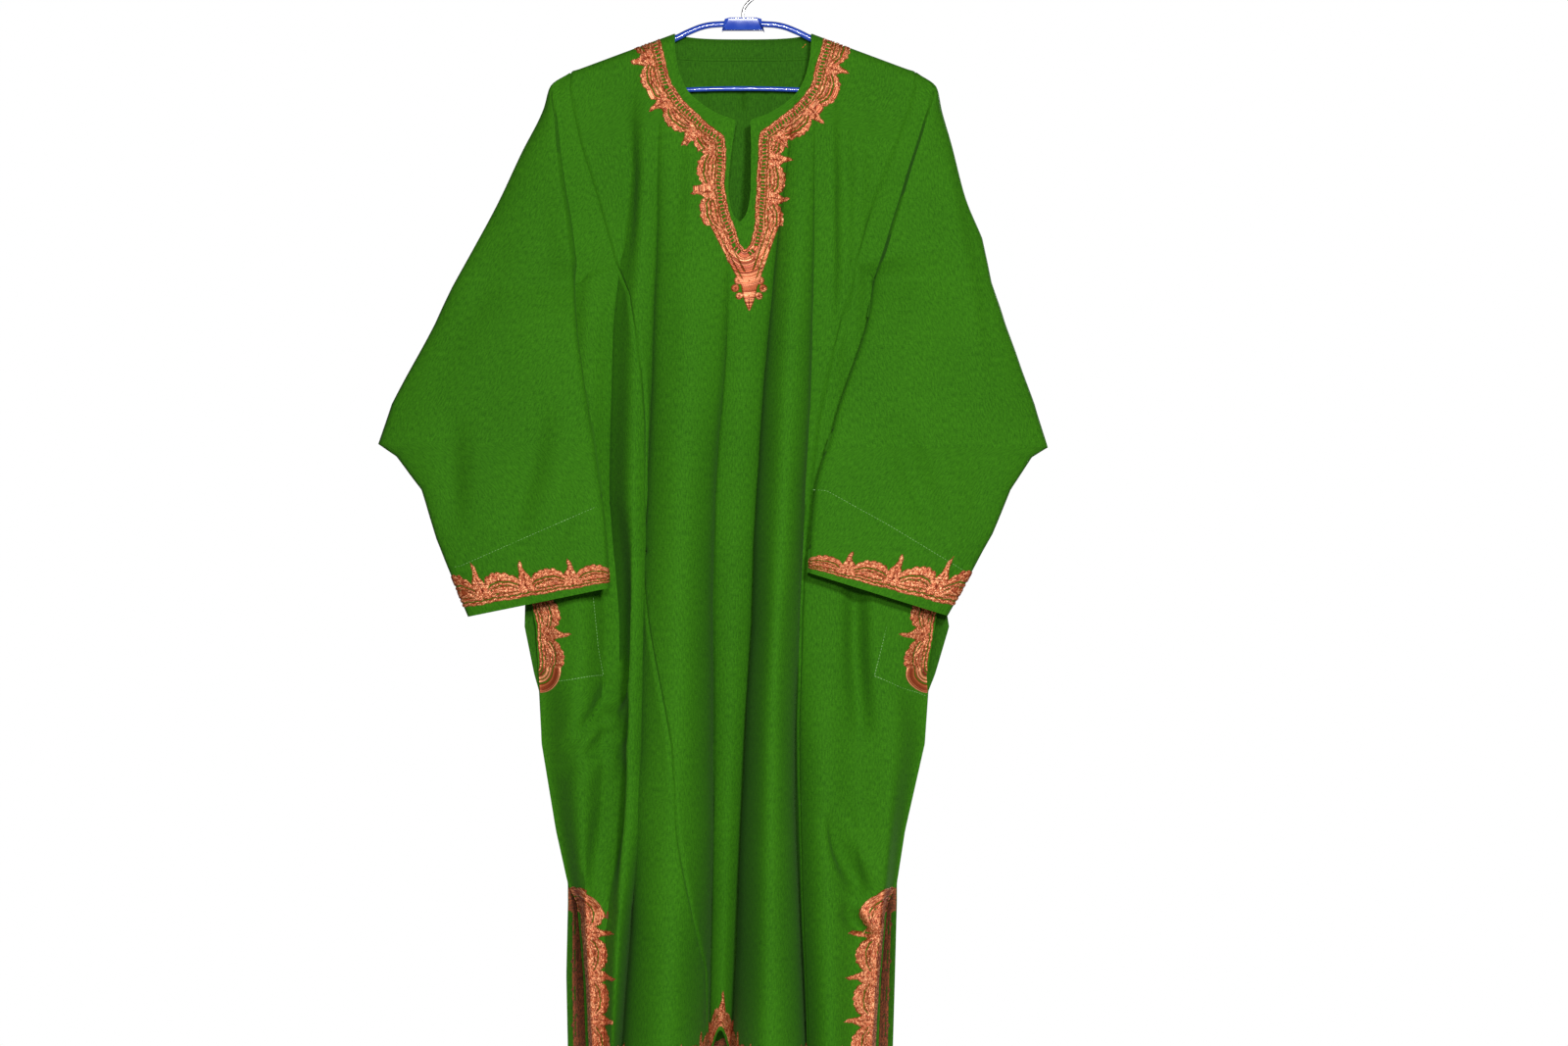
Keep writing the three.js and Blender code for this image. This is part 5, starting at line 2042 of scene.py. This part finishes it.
# ---- the hanger
@dataclass
class Hanger:
    """A plain hanger: a hook, a boss, two arms and a bar between their ends.

    Args:
        finishes: the materials.
        arm_radius: half an arm's thickness.
        arm_below: how far its centre lies under the shoulder line.
        bar_radius: half the bar's thickness.
        hook_wire: half the hook's thickness.
        hook_inside: the hook's inner radius.
        boss_top: the height of the boss's top.
        boss_size: the boss's width, depth and height.
        boss_inset: the rim round its faces, and how far they are sunk.
        boss_taper: how much narrower its top is.
    """

    finishes: Finishes
    arm_radius: float = 3.5
    arm_below: float = 6.1
    bar_radius: float = 2.6
    hook_wire: float = 1.75
    hook_inside: float = 19.0
    boss_top: float = -58.5
    boss_size: Triple = (45.0, 10.0, 14.0)
    boss_inset: Pair = (1.6, -0.7)
    boss_taper: float = 0.66

    def rod(self, name: str, node: str, slot: str, corners: list[Pair], radius: float,
            material: Material) -> Thing:
        """A round rod in the plane y = 0, from a curve with flat caps on its ends.

        Args:
            name: the piece's name.
            node: the node that it stands for.
            slot: a name for its material slot; not used.
            corners: x and z of the points that it runs through.
            radius: half its thickness.
            material: its finish.

        Returns:
            The piece.
        """
        bpy.ops.object.select_all(action="DESELECT")
        bpy.ops.curve.primitive_bezier_curve_add(location=(0, 0, 0))
        rod = bpy.context.object
        spline = rod.data.splines[0]
        spline.bezier_points.add(len(corners) - len(spline.bezier_points))
        for knot, (x, z) in zip(spline.bezier_points, corners):
            knot.co = (x * MM, 0, z * MM)
            knot.handle_left_type = knot.handle_right_type = "AUTO"
        rod.data.resolution_u = 10
        rod.data.bevel_depth = radius * MM
        rod.data.bevel_resolution = 6
        rod.data.use_fill_caps = True
        bpy.ops.object.convert(target="MESH")
        rod = bpy.context.object
        rod.name = name
        rod.data.materials.clear()
        rod.data.materials.append(material)
        bpy.ops.object.mode_set(mode="EDIT")
        bpy.ops.mesh.select_all(action="SELECT")
        bpy.ops.mesh.remove_doubles(threshold=1e-5)
        bpy.ops.mesh.normals_make_consistent(inside=False)
        bpy.ops.object.mode_set(mode="OBJECT")
        bpy.ops.object.shade_smooth_by_angle(angle=math.radians(50))
        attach(rod, "root")
        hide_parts(node)
        LOG.info("%s: %d faces", name, len(rod.data.polygons))
        return rod

    def boss(self) -> Thing:
        """The flat boss that the hook stands in, narrowed at its top, with its top and its front and back
        sunk inside rims, and the dark finish on any upward faces at its top that lie more than 20.6 mm from
        its middle.

        Returns:
            The piece.
        """
        bpy.ops.object.select_all(action="DESELECT")
        middle = (0, 0, (self.boss_top - self.boss_size[2] / 2) * MM)
        scale = [length * MM for length in self.boss_size]
        bpy.ops.mesh.primitive_cube_add(size=1, location=middle, scale=scale)
        boss = bpy.context.object
        boss.name = "hanger_boss_shell"
        bpy.ops.object.transform_apply(location=True, rotation=True, scale=True)
        mesh = boss.data
        bpy.ops.object.mode_set(mode="EDIT")
        bpy.ops.mesh.select_mode(type="FACE")
        bpy.ops.mesh.select_all(action="DESELECT")
        bpy.ops.object.mode_set(mode="OBJECT")
        for face in mesh.polygons:
            face.select = face.normal.z > 0.9 or abs(face.normal.y) > 0.9
        bpy.ops.object.mode_set(mode="EDIT")
        rim, sunk = self.boss_inset
        bpy.ops.mesh.inset(thickness=rim * MM, depth=sunk * MM, use_individual=True)
        bpy.ops.object.mode_set(mode="OBJECT")
        for vertex in mesh.vertices:
            if vertex.co.z > (self.boss_top - 1.5) * MM:
                vertex.co.x *= self.boss_taper
        bevel = boss.modifiers.new("soft edges", "BEVEL")
        bevel.width, bevel.segments, bevel.limit_method = 0.6 * MM, 3, "ANGLE"
        bpy.ops.object.modifier_apply(modifier=bevel.name)
        bpy.ops.object.shade_smooth_by_angle(angle=math.radians(40))
        mesh.materials.append(self.finishes.plastic)
        mesh.materials.append(self.finishes.rim)
        for face in mesh.polygons:
            edge = face.center.z > (self.boss_top - 1.0) * MM and face.normal.z > 0.6
            face.material_index = 1 if edge and abs(face.center.x) > 20.6 * MM else 0
        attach(boss, "root")
        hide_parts("hanger_boss")
        LOG.info("%s: %d faces", boss.name, len(mesh.polygons))
        return boss

    def build(self) -> None:
        """Makes the hanger."""
        under = [(x, float(shoulder_z(np.array(x))) - self.arm_below) for x in (84.0, 120.0, 155.0, 180.0)]
        arm = [(18.0, -65.4), (23.0, -65.5), (42.0, -67.5), (60.0, -74.0), (74.0, -80.8), *under,
               (192.0, -126.5), (197.0, -133.0), (196.0, -140.0), (190.0, -144.5), (181.0, -145.0)]
        for hand in Hand:
            corners = [(hand.value * x, z) for x, z in arm]
            self.rod(f"hanger_arm_{hand.word}_rod", f"hanger_arm_{hand.word}", "hanger_blue", corners,
                     self.arm_radius, self.finishes.plastic)
        half = [(182.0, -145.0), (150.0, -144.0), (75.0, -139.0)]
        bar = [*half, (0.0, -137.0), *((-x, z) for x, z in reversed(half))]
        self.rod("hanger_bar_rod", "hanger_bar", "hanger_blue", bar, self.bar_radius, self.finishes.plastic)
        self.boss()
        radius = self.hook_inside + self.hook_wire
        turns = [math.radians(angle) for angle in range(-50, 206, 15)]
        hook = [(0.0, -60.0), (0.0, -52.0), (3.0, -45.0)]
        hook += [(radius * math.cos(a), -self.hook_inside + radius * math.sin(a)) for a in turns]
        self.rod("hanger_hook_wire", "hanger_hook", "hook_steel", hook, self.hook_wire, self.finishes.steel)


# ---- the studio
@dataclass
class Studio:
    """A pale floor, soft light and the camera.

    Args:
        frame_width: how much of the robe's front plane the frame takes in, in metres.
        distance: from the camera to that plane.
        plane_y: the plane's y.
        centre_x: the x at the middle of the frame.
        centre_z: the height at the middle of the frame.
        aim: the point that every lamp is turned to.
        floor_radius: half the floor's width.
        floor_z: the floor's height.
    """

    frame_width: float = 1.728
    distance: float = 4.2
    plane_y: float = -0.035
    centre_x: float = 0.0454
    centre_z: float = -0.6196
    aim: Triple = (0.0, 0.0, -0.6)
    floor_radius: float = 0.95
    floor_z: float = -1.36

    def camera(self) -> None:
        """A level camera straight in front."""
        data = bpy.data.cameras.new("camera")
        data.sensor_width = 36
        data.lens = 36 * self.distance / self.frame_width
        data.clip_end = 50
        camera = bpy.data.objects.new("camera", data)
        camera.location = (self.centre_x, self.plane_y - self.distance, self.centre_z)
        camera.rotation_euler = (math.pi / 2, 0, 0)
        bpy.context.scene.collection.objects.link(camera)
        bpy.context.scene.camera = camera

    def light(self, name: str, place: Triple, size: float, power: float) -> None:
        """A square soft lamp turned to the robe.

        Args:
            name: the lamp's name.
            place: where it stands.
            size: its width.
            power: its power in watts.
        """
        data = bpy.data.lights.new(name, "AREA")
        data.size, data.energy = size, power
        lamp = bpy.data.objects.new(name, data)
        lamp.location = place
        away = np.array(place) - np.array(self.aim)
        flat = math.hypot(away[0], away[1])
        lamp.rotation_euler = (math.atan2(flat, away[2]), 0, math.atan2(away[1], away[0]) + math.pi / 2)
        bpy.context.scene.collection.objects.link(lamp)

    def floor(self, material: Material) -> None:
        """A round pale floor under the robe.

        Args:
            material: its finish.
        """
        bpy.ops.object.select_all(action="DESELECT")
        bpy.ops.mesh.primitive_circle_add(vertices=96, radius=self.floor_radius, fill_type="NGON",
                                          location=(0, 0, self.floor_z))
        floor = bpy.context.object
        floor.name = "floor"
        bpy.ops.object.transform_apply(location=True, rotation=True, scale=True)
        floor.data.materials.append(material)

    def world(self) -> None:
        """A pale surround that shows white and lights gently."""
        world = bpy.data.worlds.new("surround")
        bpy.context.scene.world = world
        world.use_nodes = True
        g = Graph(world.node_tree)
        world.node_tree.nodes.clear()
        seen = g.node("ShaderNodeLightPath").outputs["Is Camera Ray"]
        gentle = g.node("ShaderNodeBackground", {"Color": (1.0, 0.98, 0.94, 1), "Strength": 0.1})
        white = g.node("ShaderNodeBackground", {"Color": (1, 1, 1, 1), "Strength": 1.0})
        both = g.node("ShaderNodeMixShader", {0: seen, 1: gentle.outputs[0], 2: white.outputs[0]})
        g.node("ShaderNodeOutputWorld", {0: both.outputs[0]})

    def build(self) -> None:
        """Sets up the whole studio."""
        scene = bpy.context.scene
        scene.view_settings.view_transform = "Standard"
        self.camera()
        self.world()
        material, _, shader = new_material("pale floor")
        shader.inputs["Base Color"].default_value = (0.82, 0.82, 0.80, 1)
        shader.inputs["Roughness"].default_value = 0.9
        self.floor(material)
        self.light("key", (0.6, -3.1, 0.3), size=0.3, power=76)
        self.light("flash", (0.0, -3.7, -0.05), size=0.25, power=70)
        self.light("behind", (1.3, 2.3, 0.5), size=1.2, power=62)


def main() -> None:
    """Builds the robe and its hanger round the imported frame."""
    logging.basicConfig(level=logging.INFO, format="%(name)s %(message)s")
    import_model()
    Studio().build()
    finishes = Finishes()
    Body(finishes).build()
    sleeves = [Sleeve(hand, finishes) for hand in Hand]
    for sleeve in sleeves:
        sleeve.build()
    ThreadWork(finishes).build(sleeves)
    Stitching(finishes).build(sleeves)
    Hanger(finishes).build()


if __name__ == "__main__":
    main()
